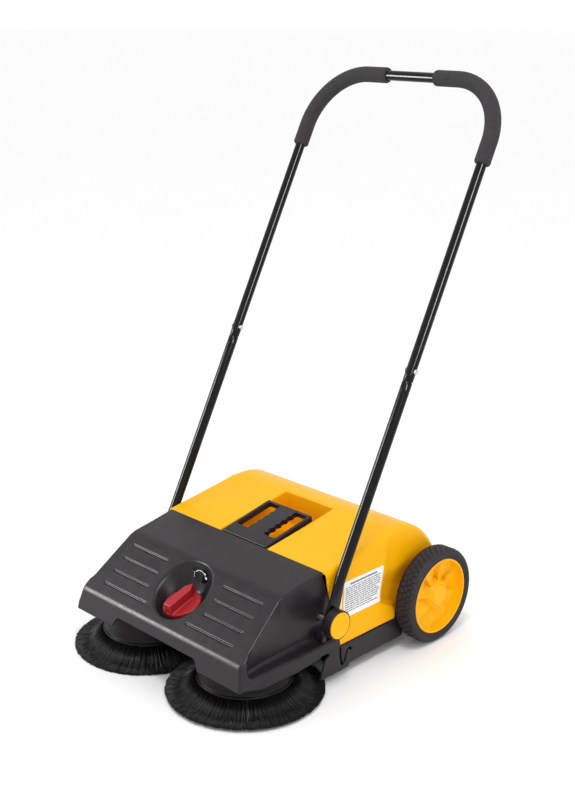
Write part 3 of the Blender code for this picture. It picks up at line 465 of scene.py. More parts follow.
def lathe(name, outline, origin, axis, steps, r, count=4):
    """A closed (radius, height) outline turned about an axis."""
    outline = np.array(rounded(outline, r, count))
    outline[:, 0] = np.maximum(outline[:, 0], 0)
    axis = Vector(axis).normalized()
    turn = np.array(Vector((0, 0, 1)).rotation_difference(axis).to_matrix())
    angle = np.arange(steps) * math.tau / steps
    local = np.stack([outline[:, 0][:, None] * np.cos(angle), outline[:, 0][:, None] * np.sin(angle),
                      np.repeat(outline[:, 1][:, None], steps, 1)], -1)
    return ring_mesh(name, local @ turn.T + np.array(origin), closed=True)


UP_LEG = np.array([0, math.sin(LEAN), math.cos(LEAN)])    # the handle's own directions
BACK = np.array([0, math.cos(LEAN), -math.sin(LEAN)])
ACROSS = np.array([1.0, 0, 0])
TUBE_X, TUBE_RADIUS, TUBE_JOINT = 0.2241, 0.0095, 0.440
CORNER_START, CORNER_RADIUS = 0.8895, 0.115
JOINT_GAP, TUBE_CHAMFER = 0.0004, 0.0008
PRESSED_X, PRESSED_HALF_X, PRESSED_HALF_Y = 0.2300, 0.0038, 0.0150    # the tube's flattened foot
GRIP_RADIUS, GRIP_START, GRIP_END = 0.0150, 0.848, 0.058    # from the pivot, and from the bar's middle


def leg_point(distance, x):
    """A place on the handle's leg, so far up from the pivot."""
    return np.array([x, PIVOT.y, PIVOT.z]) + UP_LEG * distance


def sweep(name, path, steps=40):
    """Sections along a path: centre, two half-axis vectors and a squareness power."""
    angle = (np.arange(steps) + 0.5) * math.tau / steps
    rings = []
    for centre, first, second, power in path:
        c, s = np.cos(angle), np.sin(angle)
        c = np.sign(c) * np.abs(c) ** power
        s = np.sign(s) * np.abs(s) ** power
        rings.append(centre + np.outer(c, first) + np.outer(s, second))
    return ring_mesh(name, rings)


def lower_tube(side, label):
    """Straight tube with a flattened, rounded foot at the pivot."""
    end, low = TUBE_JOINT - JOINT_GAP, -PRESSED_HALF_Y
    foot = low + PRESSED_HALF_Y * (1 - np.cos(np.linspace(0.12, math.pi / 2, 9)))
    stations = [foot, np.linspace(0.004, 0.080, 30), np.linspace(0.10, end - 0.001, 24), [end]]
    path = []
    for d in np.concatenate(stations):
        t = float(ramp(np.array(d), 0.026, 0.078))
        flat = math.sqrt(max(1 - (d / low) ** 2, 0.0)) if d < 0 else 1.0
        half_y = (PRESSED_HALF_Y * (1 - t) + TUBE_RADIUS * t) * flat
        half_x = PRESSED_HALF_X * (1 - t) + TUBE_RADIUS * t
        if d == end:
            half_x, half_y = half_x - TUBE_CHAMFER, half_y - TUBE_CHAMFER
        x = PRESSED_X * (1 - t) + TUBE_X * t
        path.append((leg_point(d, side * x), ACROSS * half_x, BACK * half_y, 0.7 * (1 - t) + t))
    return sweep("lower_tube_%s_skin" % label, path)


def bar_centre(distance):
    """Place and outward direction at a distance along the top bar, from the right joint to the middle."""
    arc = CORNER_RADIUS * math.pi / 2
    if distance < CORNER_START:
        return leg_point(distance, TUBE_X), ACROSS
    turn = min((distance - CORNER_START) / CORNER_RADIUS, math.pi / 2)
    outward = ACROSS * math.cos(turn) + UP_LEG * math.sin(turn)
    centre = leg_point(CORNER_START, TUBE_X - CORNER_RADIUS) + outward * CORNER_RADIUS
    return centre - ACROSS * max(distance - CORNER_START - arc, 0), outward


BAR_MIDDLE = CORNER_START + CORNER_RADIUS * math.pi / 2 + TUBE_X - CORNER_RADIUS


def upper_tube():
    """The U-shaped tube, from the right joint round to the left one."""
    start = TUBE_JOINT + JOINT_GAP
    half = [start, start + 0.0010, start + 0.012, start + 0.030]
    half += list(np.linspace(start + 0.06, CORNER_START, 16))
    half += list(np.linspace(CORNER_START + 0.005, BAR_MIDDLE - 0.108, 34))
    half += list(np.linspace(BAR_MIDDLE - 0.1, BAR_MIDDLE, 6))
    path = []
    for mirror in (1, -1):
        for d in half if mirror > 0 else half[-2::-1]:
            centre, outward = bar_centre(d)
            radius = TUBE_RADIUS - (TUBE_CHAMFER if d == start else 0)
            flip = np.array([mirror, 1, 1])
            path.append((centre * flip, outward * flip * radius, BACK * radius, 1.0))
    return sweep("upper_tube_skin", path)


def grip(side, label):
    """Foam sleeve round the bend of the upper tube, with softened ends."""
    start, end, taper = GRIP_START, BAR_MIDDLE - GRIP_END, 0.0040
    ends = [0.0, 0.0006, 0.0018, taper]
    along = [start + e for e in ends] + list(np.linspace(start + 0.008, end - 0.008, 90))
    along += [end - e for e in reversed(ends)]
    flip = np.array([side, 1, 1])
    path = []
    for d in along:
        near = min(d - start, end - d)
        radius = GRIP_RADIUS - 0.0030 * max(1 - near / taper, 0) ** 2
        centre, outward = bar_centre(d)
        path.append((centre * flip, outward * flip * radius, BACK * radius, 1.0))
    return sweep("foam_grip_%s_skin" % label, path, 48)


def handle_parts():
    """Tubes, foam grips, pivot bosses with their caps, and the bolts at the tube joints."""
    settle(upper_tube(), "handle", "black_tube", "upper_tube")
    pivot = (0, PIVOT.y, PIVOT.z)
    boss = [(0.0066, 0.2343), (0.0066, 0.2498), (0.0112, 0.2498), (0.0112, 0.2536), (0.0244, 0.2536),
            (0.0244, 0.2568), (0.0265, 0.2568), (0.0265, 0.2400), (0.0235, 0.2343)]
    cap = [(0.0, 0.2540), (0.0240, 0.2540), (0.0240, 0.2577), (0.0200, 0.2583), (0.0, 0.2583)]
    bolt = [(0.0, 0.0), (0.0042, 0.0), (0.0048, 0.0024), (0.0027, 0.0026), (0.0027, 0.0225),
            (0.0052, 0.0227), (0.0047, 0.0245), (0.0, 0.0252)]
    for label, side in SIDES:
        axis = (side, 0, 0)
        settle(lower_tube(side, label), "handle", "black_tube", "lower_tube_" + label)
        foam = settle(grip(side, label), "handle", "foam", "foam_grip_" + label)
        settle(lathe("pivot_boss_%s_skin" % label, boss, pivot, axis, 96, 0.0011),
               "handle", "black_plastic", "pivot_boss_" + label)
        settle(lathe("pivot_cap_%s_skin" % label, cap, pivot, axis, 96, 0.0009),
               "handle", "yellow_plastic", "pivot_cap_" + label)
        start = leg_point(TUBE_JOINT + 0.020, side * (TUBE_X - 0.0125))
        settle(lathe("joint_bolt_%s_skin" % label, bolt, start, axis, 32, 0.0006, 3),
               "handle", "steel", "joint_bolt_" + label)


# ------------ road wheels
TREAD_ROWS, TREAD_COLUMNS, TREAD_STEPS, TREAD_DEPTH = 5, 46, 720, 0.0022
RIM_BLADES, BLADE_SWEEP, BLADE_RESET = 8, 2.5, 0.12    # sweep per metre, share of a blade that drops back
TYRE_LOW, TYRE_HIGH = (corner[0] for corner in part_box("tyre_right"))


def wheel_parts():
    """Tyre, rim and hub cap on each side."""
    cap = [(0.0, 0.2550), (0.0205, 0.2550), (0.0209, 0.2575), (0.0180, 0.2588), (0.0, 0.2590)]
    for label, side in SIDES:
        body = "wheel_" + label
        settle(tyre(side, label), body, "tyre", "tyre_" + label)
        settle(rim(side, label), body, "yellow_plastic", "rim_" + label)
        settle(lathe("hub_cap_%s_skin" % label, cap, (0, WHEEL.y, WHEEL.z), (side, 0, 0), 96, 0.0010),
               body, "yellow_plastic", "hub_cap_" + label)


def tread_edges(u, across):
    """How much nearer each place is to one block's middle than to the next: small on the grooves."""
    whole = math.tau * WHEEL_RADIUS
    pitch_u, pitch_v = whole / TREAD_COLUMNS, 0.0086
    rng = np.random.default_rng(5)
    first = np.full((len(across), len(u)), 1e9)
    second = first.copy()
    for row in range(TREAD_ROWS):
        for column in range(TREAD_COLUMNS):
            jitter = (rng.random(2) - 0.5) * [0.0042, 0.0034]
            cu = (column + 0.5 * (row % 2)) * pitch_u + jitter[0]
            cv = (TYRE_LOW + TYRE_HIGH) / 2 + (row - (TREAD_ROWS - 1) / 2) * pitch_v + jitter[1]
            du = np.abs((u - cu + whole / 2) % whole - whole / 2)
            near = np.where(du < 0.03)[0]
            gap = np.hypot(du[near][None, :], (across - cv)[:, None])
            old = first[:, near]
            second[:, near] = np.minimum(second[:, near], np.maximum(old, gap))
            first[:, near] = np.minimum(old, gap)
    return second - first


def tyre(side, label):
    """Tread of irregular six-sided blocks, shoulder and sidewall rings."""
    back, face, top = TYRE_LOW, TYRE_HIGH, WHEEL_RADIUS
    outer = [(0.0736, face - 0.0020), (0.0745, face - 0.0008), (0.0770, face - 0.0006),
             (0.0778, face - 0.0014), (0.0788, face - 0.0014), (0.0796, face),
             (top - 0.0066, face), (top - 0.0056, face - 0.0014),
             (top - 0.0046, face - 0.0014), (top - 0.0034, face - 0.0020), (top - 0.0017, face - 0.0040),
             (top - 0.0003, face - 0.0070)]
    tread = [np.array((top, x)) for x in np.linspace(face - 0.0076, back + 0.0076, 40)]
    inner = [(top - 0.0003, back + 0.0070), (top - 0.0017, back + 0.0040), (top - 0.0034, back + 0.0020),
             (top - 0.0056, back + 0.0004), (0.0745, back + 0.0006), (0.0736, back + 0.0020)]
    outline = np.array(rounded(outer, 0.0006, 2, False) + tread + rounded(inner, 0.0006, 2, False))
    angle = np.arange(TREAD_STEPS) * math.tau / TREAD_STEPS
    radius = np.repeat(outline[:, 0][:, None], TREAD_STEPS, 1)
    across = outline[:, 1]
    groove = 1 - ramp(tread_edges(angle * WHEEL_RADIUS, across), 0.0010, 0.0026)
    depth = ramp(outline[:, 0], top - 0.0040, top - 0.0010)[:, None] * TREAD_DEPTH
    radius = radius - groove * depth
    x = np.repeat((across * side)[:, None], TREAD_STEPS, 1)
    rings = np.stack([x, radius * np.cos(angle), radius * np.sin(angle)], -1)
    return ring_mesh("tyre_%s_skin" % label, rings + np.array([0, WHEEL.y, WHEEL.z]), closed=True)


def rim(side, label):
    """Deep dish with eight fan-like blades before a thin disc, a barrel and a tapered hub."""
    def field(p):
        x = p[:, 0] * side
        y, z = p[:, 1] - WHEEL.y, p[:, 2] - WHEEL.z
        r = np.hypot(y, z)
        turn = np.arctan2(z, y) * side + (r - 0.03) * BLADE_SWEEP
        phase = (turn * RIM_BLADES / math.tau) % 1.0
        rise = 1 - BLADE_RESET
        saw = np.where(phase < rise, phase / rise, (1 - phase) / BLADE_RESET) - 0.5
        height = 0.2458 + saw * np.interp(r, [0.030, 0.048, 0.067], [0.0105, 0.0085, 0.0040])
        blades = (np.abs(x - height) - 0.0015) * 0.75
        blades = np.maximum(blades, np.maximum(r - 0.0700, 0.012 - r))
        barrel = fillet_max(r - 0.0731, 0.0672 + 0.0018 * ramp(x, 0.245, 0.258) - r, 0.0008)
        barrel = fillet_max(barrel, np.abs(x - 0.24425) - 0.01655, 0.0009)
        hub = fillet_max(r - (0.0325 - (x - 0.2440) * 0.62), x - 0.2572, 0.0014)
        hub = fillet_max(hub, 0.2275 - x, 0.001)
        hub = fillet_max(hub, -np.maximum(r - 0.0212, 0.2545 - x), 0.0004)
        hub = np.maximum(hub, 0.0084 - r)
        hub = np.maximum(hub, -np.maximum(np.maximum(0.0165 - r, r - 0.0285), x - 0.2430))
        disc = np.maximum(np.abs(x - 0.2376) - 0.0018, np.abs(r - 0.041) - 0.029)
        body = fillet_min(np.minimum(blades, disc), barrel, 0.0016)
        return fillet_min(body, hub, 0.0010)
    lows = np.array([0.2232 if side > 0 else -0.2620, WHEEL.y - 0.075, WHEEL.z - 0.075])
    return moulded("rim_%s_skin" % label, field, lows, lows + [0.0388, 0.150, 0.150], 0.0012)


# ------------ side brushes
BRISTLE_ROWS, TUFTS, STRANDS = 2, 92, 44
ROOT_RADIUS, ROOT_Z, ROW_PITCH = 0.0852, 0.0272, 0.0036
LANDING_RADIUS = 0.1195                          # from here out the bristles lie flat
BRISTLE_AT = np.array([0.0, 0.30, 0.62, 1.0])    # stations along a strand, and its half thickness there
BRISTLE_THICK = np.array([0.00056, 0.00052, 0.00048, 0.00036])


def brush_parts():
    """Drum and bristles on each side."""
    drum = [(0.0064, 0.0715), (0.0064, 0.0755), (0.0745, 0.0755), (0.0780, 0.0720), (0.0812, 0.0520),
            (0.0826, 0.0380), (0.0834, 0.0338), (0.0862, 0.0330), (0.0868, 0.0318), (0.0868, 0.0294),
            (0.0862, 0.0284), (0.0812, 0.0282), (0.0750, 0.0715)]
    for label, side in SIDES:
        body = "brush_" + label
        centre = (side * BRUSH.x, BRUSH.y, 0)
        shell = lathe("brush_drum_%s_skin" % label, drum, centre, (0, 0, 1), 144, 0.0012)
        # the drum's darker plastic is painted shade for the shadow under the hood
        settle(shell, body, "black_plastic", "brush_drum_" + label, paint=SHADED_DRUM_PLASTIC)
        settle(bristles(side, label), body, "bristle", "bristle_ring_" + label)


def bristles(side, label):
    """Tufts of filaments that slope from the drum's flange to the floor."""
    rng = np.random.default_rng(11 if side > 0 else 12)
    low, high = ((0.0003, 0.0031) if side < 0 else (0.0044, 0.0074))
    count = BRISTLE_ROWS * TUFTS * STRANDS
    row = np.repeat(np.arange(BRISTLE_ROWS), TUFTS * STRANDS)
    tuft = np.tile(np.repeat(np.arange(TUFTS), STRANDS), BRISTLE_ROWS)
    scatter = rng.normal(0, 1, (count, 2))
    angle = (tuft + row / BRISTLE_ROWS + scatter[:, 0] * 0.15) * math.tau / TUFTS
    splay = rng.normal(0, 0.010, count) + scatter[:, 0] * 0.014 + 0.012 * rng.normal(0, 1, TUFTS)[tuft]
    root_r = ROOT_RADIUS + row * ROW_PITCH + scatter[:, 1].clip(-1.5, 1.5) * 0.0006
    tip_r = BRUSH_RADIUS - 0.0004 - rng.random(count) ** 2.5 * 0.0080 - 0.0016 * rng.random(TUFTS)[tuft]
    level = (row + rng.random(count)) / BRISTLE_ROWS
    tip_z = low + (high - low) * level
    flat = tip_z + 0.0006
    spin = rng.random(count) * math.tau
    points = np.empty((len(BRISTLE_AT), count, 3, 3))
    for k, (at, thick) in enumerate(zip(BRISTLE_AT, BRISTLE_THICK)):
        r = root_r + (tip_r - root_r) * at
        a = angle + splay * at ** 1.3
        fall = np.clip((r - root_r) / (LANDING_RADIUS - root_r), 0, 1) ** 0.9
        beyond = 0.5 * (r - LANDING_RADIUS) / 0.024
        z = np.where(r < LANDING_RADIUS, ROOT_Z + (flat + 0.0004 - ROOT_Z) * fall,
                     flat * (1 - beyond) + tip_z * beyond)
        for corner in range(3):
            turn = spin + corner * math.tau / 3
            dr, dt, dz = thick * np.cos(turn) * 0.55, thick * np.sin(turn), thick * np.cos(turn) * 0.8
            points[k, :, corner] = np.stack([side * BRUSH.x + (r + dr) * np.cos(a) - dt * np.sin(a),
                                             BRUSH.y + (r + dr) * np.sin(a) + dt * np.cos(a), z + dz], 1)
    points[..., 2] = np.maximum(points[..., 2], 0.0001)
    index = np.arange(points[..., 0].size).reshape(points.shape[:3])
    faces = []
    for below, above in zip(index, index[1:]):
        for corner in range(3):
            other = (corner + 1) % 3
            quads = [below[:, corner], below[:, other], above[:, other], above[:, corner]]
            faces += np.stack(quads, 1).tolist()
    faces += index[0][:, ::-1].tolist() + index[-1].tolist()
    mesh = bpy.data.meshes.new("bristle_ring_%s_skin" % label)
    mesh.from_pydata(points.reshape(-1, 3).tolist(), [], faces)
    return placed(mesh.name, mesh)


# ------------ knob and carry plate
KNOB_RADIUS, KNOB_DEPTH, BAR_HALF, BAR_TOP = 0.0354, 0.0085, 0.0098, 0.0183
PLATE_FRONT, PLATE_RISE, PLATE_LENGTH, PLATE_HALF = (0, -0.0990, 0.2115), (0.025, 0.123), 0.1255, 0.0585
SLOT_MIDDLE, SCALLOP_PITCH = 0.0758, 0.0165


def knob_field(p):
    """Round knob with a raised, pointed finger bar."""
    q = (p - np.array(KNOB)) @ np.array(Matrix.Rotation(KNOB_TILT, 3, "X"))
    x, y, z = np.abs(q[:, 0]), q[:, 1], q[:, 2]
    r = np.hypot(x, y)
    disc = fillet_max(r - KNOB_RADIUS, z - 0.0012 * (1 - (r / KNOB_RADIUS) ** 2) + 0.0002, 0.0022)
    disc = fillet_max(disc, -KNOB_DEPTH - z, 0.0008)
    point = (y - 0.0345) * 0.548 + x * 0.836
    bar = fillet_max(x - (BAR_HALF - z * 0.035), point, 0.0012)
    bar = fillet_max(bar, -0.0335 + (z - 0.003).clip(0, 1) * 0.12 - y, 0.0016)
    bar = fillet_max(bar, z - (BAR_TOP - 0.02 * np.maximum(-y, 0)), 0.0012)
    bar = np.maximum(bar, -0.004 - z)
    body = fillet_min(disc, bar, 0.0026)
    return np.maximum(body, -np.maximum(r - 0.0055, z - 0.004))


def plate_field(p):
    """Carry plate with two finger slots, scalloped on the inner side, and a tongue at its front."""
    q = (p - np.array(PLATE_FRONT)) @ np.array(Matrix.Rotation(math.atan2(*PLATE_RISE), 3, "X"))
    x, y, z = np.abs(q[:, 0]), q[:, 1], q[:, 2]
    plate = fillet_max(x - PLATE_HALF, np.abs(y - PLATE_LENGTH / 2) - PLATE_LENGTH / 2, 0.003)
    plate = fillet_max(plate, np.abs(z + 0.006) - 0.006, 0.0018)
    wave = np.cos((y - 0.0760) * math.tau / SCALLOP_PITCH) * ramp(-np.abs(y - 0.076), -0.040, -0.036)
    slot = fillet_max(0.0205 + 0.0016 * wave - x, x - 0.0512, 0.0045)
    slot = fillet_max(slot, np.abs(y - SLOT_MIDDLE) - 0.0447, 0.0045)
    plate = fillet_max(plate, -slot, 0.0016)
    tongue = fillet_max(x - 0.0620, np.abs(y - 0.0032) - 0.0028, 0.0006)
    tongue = fillet_max(tongue, np.abs(z + 0.0170) - 0.0130, 0.0006)
    return fillet_min(plate, tongue, 0.001)


# ------------ small fittings
def lay_on(field, points, reach):
    """Press points onto a surface, standing off it by reach."""
    points = np.asarray(points, float)
    for _ in range(8):
        grad = slope_of(field, points)
        points = points - (field(points) - reach)[:, None] * grad / (grad * grad).sum(1)[:, None]
    return points, grad / np.linalg.norm(grad, axis=1, keepdims=True)


def decal(name, field, outlines, thick, rings=1):
    """Flat shapes laid on a moulded surface as thin closed tiles."""
    verts, faces = [], []
    for outline in outlines:
        outline = np.asarray(outline, float)
        middle, n, base = outline.mean(0), len(outline), len(verts)
        places = np.concatenate([middle + (outline - middle) * (1 - k / rings) for k in range(rings)])
        top, out = lay_on(field, places, thick)
        low = top - out * thick * 1.6
        verts += top.tolist() + low.tolist()
        under = base + n * rings
        last = n * (rings - 1)
        faces.append([base + last + k for k in range(n)])
        faces.append([under + last + k for k in reversed(range(n))])
        for k in range(n):
            m = (k + 1) % n
            faces.append([base + m, base + k, under + k, under + m])
            for ring in range(0, last, n):
                faces.append([base + ring + k, base + ring + m, base + ring + n + m, base + ring + n + k])
                faces.append([under + ring + m, under + ring + k, under + ring + n + k, under + ring + n + m])
    mesh = bpy.data.meshes.new(name)
    mesh.from_pydata(verts, [], faces)
    squared(mesh)
    obj = bpy.data.objects.new(name, mesh)
    bpy.context.collection.objects.link(obj)
    return obj


def rectangle(u0, v0, u1, v1, r, count=4):
    """Rounded rectangle in two directions."""
    made = []
    for cu, cv, start in ((u1 - r, v1 - r, 0), (u0 + r, v1 - r, 1), (u0 + r, v0 + r, 2), (u1 - r, v0 + r, 3)):
        for k in range(count + 1):
            a = (start + k / count) * math.pi / 2
            made.append((cu + r * math.cos(a), cv + r * math.sin(a)))
    return made


def finely(outline, step=0.006):
    """The same outline with points no further apart than step."""
    made = []
    for a, b in zip(outline, outline[1:] + outline[:1]):
        count = max(1, math.ceil(math.dist(a, b) / step))
        made += [(a[0] + (b[0] - a[0]) * k / count, a[1] + (b[1] - a[1]) * k / count) for k in range(count)]
    return made


def label_parts():
    """White sticker with rows of grey bars and a leaning rear edge, and a narrow strip before it."""
    def on_side(outline):
        return [(0.2160, u + (v - 0.1435) * 0.147 * (u + 0.056) / 0.1, v) for u, v in outline]
    sheets = [on_side(finely(rectangle(-0.0560, 0.1090, 0.0465, 0.1780, 0.0015))),
              on_side(finely(rectangle(-0.0640, 0.1100, -0.0600, 0.1560, 0.0006)))]
    sticker = decal("instruction_label", cover_field, sheets, 0.00025, 8)
    settle(sticker, "container", "nylon", paint=LABEL_PAPER)
    rng = np.random.default_rng(3)
    bars = [on_side(rectangle(-0.0400, 0.1690, 0.0300, 0.1722, 0.0006))]
    for row in range(12):
        u, v = -0.0515, 0.1640 - row * 0.0042
        while u < 0.036:
            width = 0.0040 + 0.0100 * rng.random()
            bars.append(on_side(rectangle(u, v, min(u + width, 0.0415), v + 0.0017, 0.0004, 2)))
            u += width + 0.0016
        if row in (5, 10):
            bars.pop()
    rows = decal("instruction_rows", cover_field, bars, 0.00045)
    settle(rows, "container", "black_plastic", paint=LABEL_PRINT)


def icon_parts():
    """Dark plaque in the bowl with a generic symbol: an arc with an arrowhead between plain marks."""
    def on_wall(outline):
        return [(u - 0.0045, -0.2040, 0.1690 + v) for u, v in outline]
    disc = [(0.0250 * math.cos(a), 0.0138 * math.sin(a)) for a in np.linspace(0, math.tau, 49)[:-1]]
    plaque = decal("setting_plaque", hood_field, [on_wall(disc)], 0.0003, 8)
    settle(plaque, "chassis", "black_plastic", paint=LOOKS["black_tube"])
    angles = np.linspace(0.22 * math.pi, 0.78 * math.pi, 13)
    arc = [(0.0142 * math.cos(a), 0.0125 * math.sin(a) - 0.0035) for a in angles]
    arc += [(0.0128 * math.cos(a), 0.0112 * math.sin(a) - 0.0035) for a in angles[::-1]]
    shapes = [arc, [(0.0082, 0.0072), (0.0142, 0.0062), (0.0126, 0.0020)],
              rectangle(-0.0200, -0.0030, -0.0130, 0.0030, 0.0008),
              rectangle(0.0130, -0.0030, 0.0195, 0.0015, 0.0008),
              rectangle(-0.0205, -0.0062, -0.0125, -0.0048, 0.0004)]
    symbol = decal("setting_symbol", hood_field, [on_wall(shape) for shape in shapes], 0.0007)
    settle(symbol, "chassis", "nylon", paint=LABEL_PAPER)


def lug_parts():
    """Small moulded lug on each side of the chassis, below the pivot."""
    for label, side in SIDES:
        def field(p):
            q = np.stack([p[:, 0] * side, p[:, 1], p[:, 2]], 1)
            block = box_field(q, (0.2040, -0.1190, 0.0855), (0.2225, -0.1095, 0.0975), 0.0014)
            stub = box_field(q, (0.2040, -0.1165, 0.0830), (0.2190, -0.1115, 0.1000), 0.0010)
            return fillet_min(block, stub, 0.0008)
        low = np.array([0.2020 if side > 0 else -0.2245, -0.1215, 0.0810])
        lug = moulded("lug_" + label, field, low, low + [0.0225, 0.0140, 0.0210], 0.0009)
        settle(lug, "chassis", "black_plastic")


# ------------ materials
def linear(colour):
    """sRGB 0-255 to linear."""
    share = [c / 255 for c in colour]
    return tuple(c / 12.92 if c <= 0.04045 else ((c + 0.055) / 1.055) ** 2.4 for c in share)


class Look:
    """A node material built up step by step round one Principled BSDF."""

    def __init__(self, name, roughness, metallic=0.0, **sockets):
        self.made = bpy.data.materials.new(name)
        self.made.use_nodes = True
        self.tree = self.made.node_tree
        self.shader = self.tree.nodes["Principled BSDF"]
        self.shader.inputs["Roughness"].default_value = roughness
        self.shader.inputs["Metallic"].default_value = metallic
        for socket, value in sockets.items():
            self.shader.inputs[socket.replace("_", " ")].default_value = value
        self.coords = self.tree.nodes.new("ShaderNodeTexCoord").outputs["Object"]
        self.normal = None

    def node(self, kind, **settings):
        """A new node with its sockets and settings filled in."""
        made = self.tree.nodes.new(kind)
        for key, value in settings.items():
            if key in made.inputs:
                made.inputs[key].default_value = value
            else:
                setattr(made, key, value)
        return made

    def link(self, a, b):
        self.tree.links.new(a, b)

    def noise(self, scale, detail=2.0, rough=0.5):
        made = self.node("ShaderNodeTexNoise", Scale=scale, Detail=detail, Roughness=rough)
        self.link(self.coords, made.inputs["Vector"])
        return made.outputs["Fac"]

    def spread(self, value, low, high):
        """Map the middle of a noise's range to low to high."""
        limits = {"From Min": 0.3, "From Max": 0.7, "To Min": low, "To Max": high}
        made = self.node("ShaderNodeMapRange", **limits)
        self.link(value, made.inputs["Value"])
        return made.outputs["Result"]

    def colours(self, value, low, high):
        """Base colour that goes from low to high as the value does."""
        made = self.node("ShaderNodeMix", data_type="RGBA")
        for socket in made.inputs:
            if socket.type == "RGBA":
                socket.default_value = (*(low if socket.name == "A" else high), 1)
        self.link(value, made.inputs["Factor"])
        self.link(next(out for out in made.outputs if out.type == "RGBA"), self.shader.inputs["Base Color"])

    def roughness(self, value):
        self.link(value, self.shader.inputs["Roughness"])

    def bump(self, height, strength, distance):
        """Bump, on top of any that is there already."""
        made = self.node("ShaderNodeBump", Strength=strength, Distance=distance)
        self.link(height, made.inputs["Height"])
        if self.normal is not None:
            self.link(self.normal, made.inputs["Normal"])
        self.normal = made.outputs["Normal"]
        self.link(self.normal, self.shader.inputs["Normal"])


def moulded_plastic(name, low, high, roughness, grain=900.0, depth=0.00012, strength=0.35, shine=0.28):
    """Injection-moulded plastic: fine spark-eroded grain, faint flow and handling marks."""
    look = Look(name, roughness, IOR=1.5, Specular_IOR_Level=shine)
    look.colours(look.spread(look.noise(14.0, 4.0), 0.0, 1.0), low, high)
    rough = look.spread(look.noise(45.0, 5.0, 0.6), roughness - 0.05, roughness + 0.07)
    look.roughness(rough)
    look.bump(look.noise(grain, 2.0), strength, depth)
    return look.made


def tube_paint():
    """Glossy black powder coat."""
    look = Look("black_tube", 0.12, IOR=1.5, Specular_IOR_Level=0.22)
    look.colours(look.spread(look.noise(30.0), 0, 1), linear((6, 5, 6)), linear((11, 10, 11)))
    look.roughness(look.spread(look.noise(60.0, 4.0), 0.10, 0.18))
    look.bump(look.noise(380.0, 2.0), 0.25, 0.00008)
    return look.made


def foam():
    """Closed-cell grip foam."""
    look = Look("foam", 0.93)
    look.colours(look.spread(look.noise(420.0, 3.0), 0, 1), linear((24, 21, 23)), linear((48, 44, 47)))
    look.bump(look.noise(1300.0, 2.0), 0.9, 0.0005)
    look.bump(look.noise(260.0, 2.0), 0.5, 0.0007)
    return look.made


def steel():
    """Plain zinc-plated steel."""
    look = Look("steel", 0.3, 1.0)
    look.colours(look.spread(look.noise(200.0), 0, 1), (0.48, 0.48, 0.50), (0.62, 0.62, 0.64))
    look.roughness(look.spread(look.noise(500.0, 4.0), 0.22, 0.42))
    return look.made


def filament():
    """Black nylon bristles."""
    look = Look("bristle", 0.46, IOR=1.5, Specular_IOR_Level=0.25)
    look.colours(look.spread(look.noise(300.0, 2.0), 0, 1), linear((8, 7, 8)), linear((22, 20, 22)))
    return look.made


LOOKS = {                                        # by the record's slot names
    "black_plastic": moulded_plastic("black_plastic", linear((29, 23, 27)), linear((35, 28, 33)), 0.34),
    "yellow_plastic": moulded_plastic("yellow_plastic", (0.95, 0.445, 0.0), (0.97, 0.46, 0.0),
                                      0.34, 1400.0, 0.00005, 0.25, 0.14),
    "red_plastic": moulded_plastic("red_plastic", linear((158, 24, 32)), linear((168, 30, 38)),
                                   0.36, 1400.0, 0.00005, 0.25),
    "tyre": moulded_plastic("tyre", linear((36, 31, 33)), linear((44, 38, 40)), 0.62, 700.0),
    "nylon": moulded_plastic("nylon", linear((214, 210, 200)), linear((226, 222, 212)), 0.48),
    "rubber": moulded_plastic("rubber", linear((34, 33, 34)), linear((44, 43, 44)), 0.75, 800.0),
    "black_tube": tube_paint(),
    "foam": foam(),
    "steel": steel(),
    "bristle": filament(),
}
# Darker, less shiny copy of the black plastic for the brush drums: painted shade for the shadow the hood casts on
# them.
SHADED_DRUM_PLASTIC = moulded_plastic("drum_plastic_painted_shade", linear((20, 16, 19)), linear((26, 22, 25)), 0.38, shine=0.15)
LABEL_PAPER = moulded_plastic("label_paper", (0.86, 0.87, 0.88), (0.90, 0.91, 0.92), 0.45, 300.0, 0.00002, 0.1)
LABEL_PRINT = moulded_plastic("label_print", (0.16, 0.16, 0.17), (0.24, 0.24, 0.25), 0.6)


def settle(obj, body, slot, *nodes, paint=None):
    """Material, body, slot and the CAD nodes that this piece stands for."""
    obj.data.materials.clear()
    obj.data.materials.append(paint or LOOKS[slot])
    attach(obj, body)
    if nodes:
        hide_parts(*nodes)
    return obj


def cast(node, field, low, high, step, body, slot):
    """A moulded piece in place of one CAD node, sampled between two corners."""
    settle(moulded(node + "_skin", field, low, high, step), body, slot, node)


def dress_cad():
    """CAD nodes that keep their own shape get the same procedural materials."""
    for part in frame["record"]["subparts"]:
        obj = frame["nodes"][part["node"]]
        for place in obj.material_slots:
            place.material = LOOKS[part["material_slot"]]
        if not obj.material_slots:
            obj.data.materials.append(LOOKS[part["material_slot"]])
    for label, _ in SIDES:
        for place in frame["nodes"]["joint_sleeve_" + label].material_slots:
            place.material = LOOKS["black_plastic"]


# ------------ camera, light, floor
def aim(obj, position, azimuth, elevation, roll):
    """Put an object in place, looking back along an azimuth and elevation in degrees."""
    a, e = math.radians(azimuth), math.radians(elevation)
    back = Vector((math.sin(a) * math.cos(e), -math.cos(a) * math.cos(e), math.sin(e)))
    obj.location = position
    obj.rotation_mode = "QUATERNION"
    turn = (-back).to_track_quat("-Z", "Y")
    obj.rotation_quaternion = turn @ Matrix.Rotation(math.radians(roll), 3, "Z").to_quaternion()


def make_camera():
    """The camera at the photo's angle."""
    data = bpy.data.cameras.new("camera")
    data.sensor_width = 36.0
    data.lens = 56.67
    data.clip_end = 50.0
    obj = bpy.data.objects.new("camera", data)
    bpy.context.collection.objects.link(obj)
    aim(obj, (1.5786, -1.5765, 1.1629), 44.75, 17.66, 0.17)
    bpy.context.scene.camera = obj


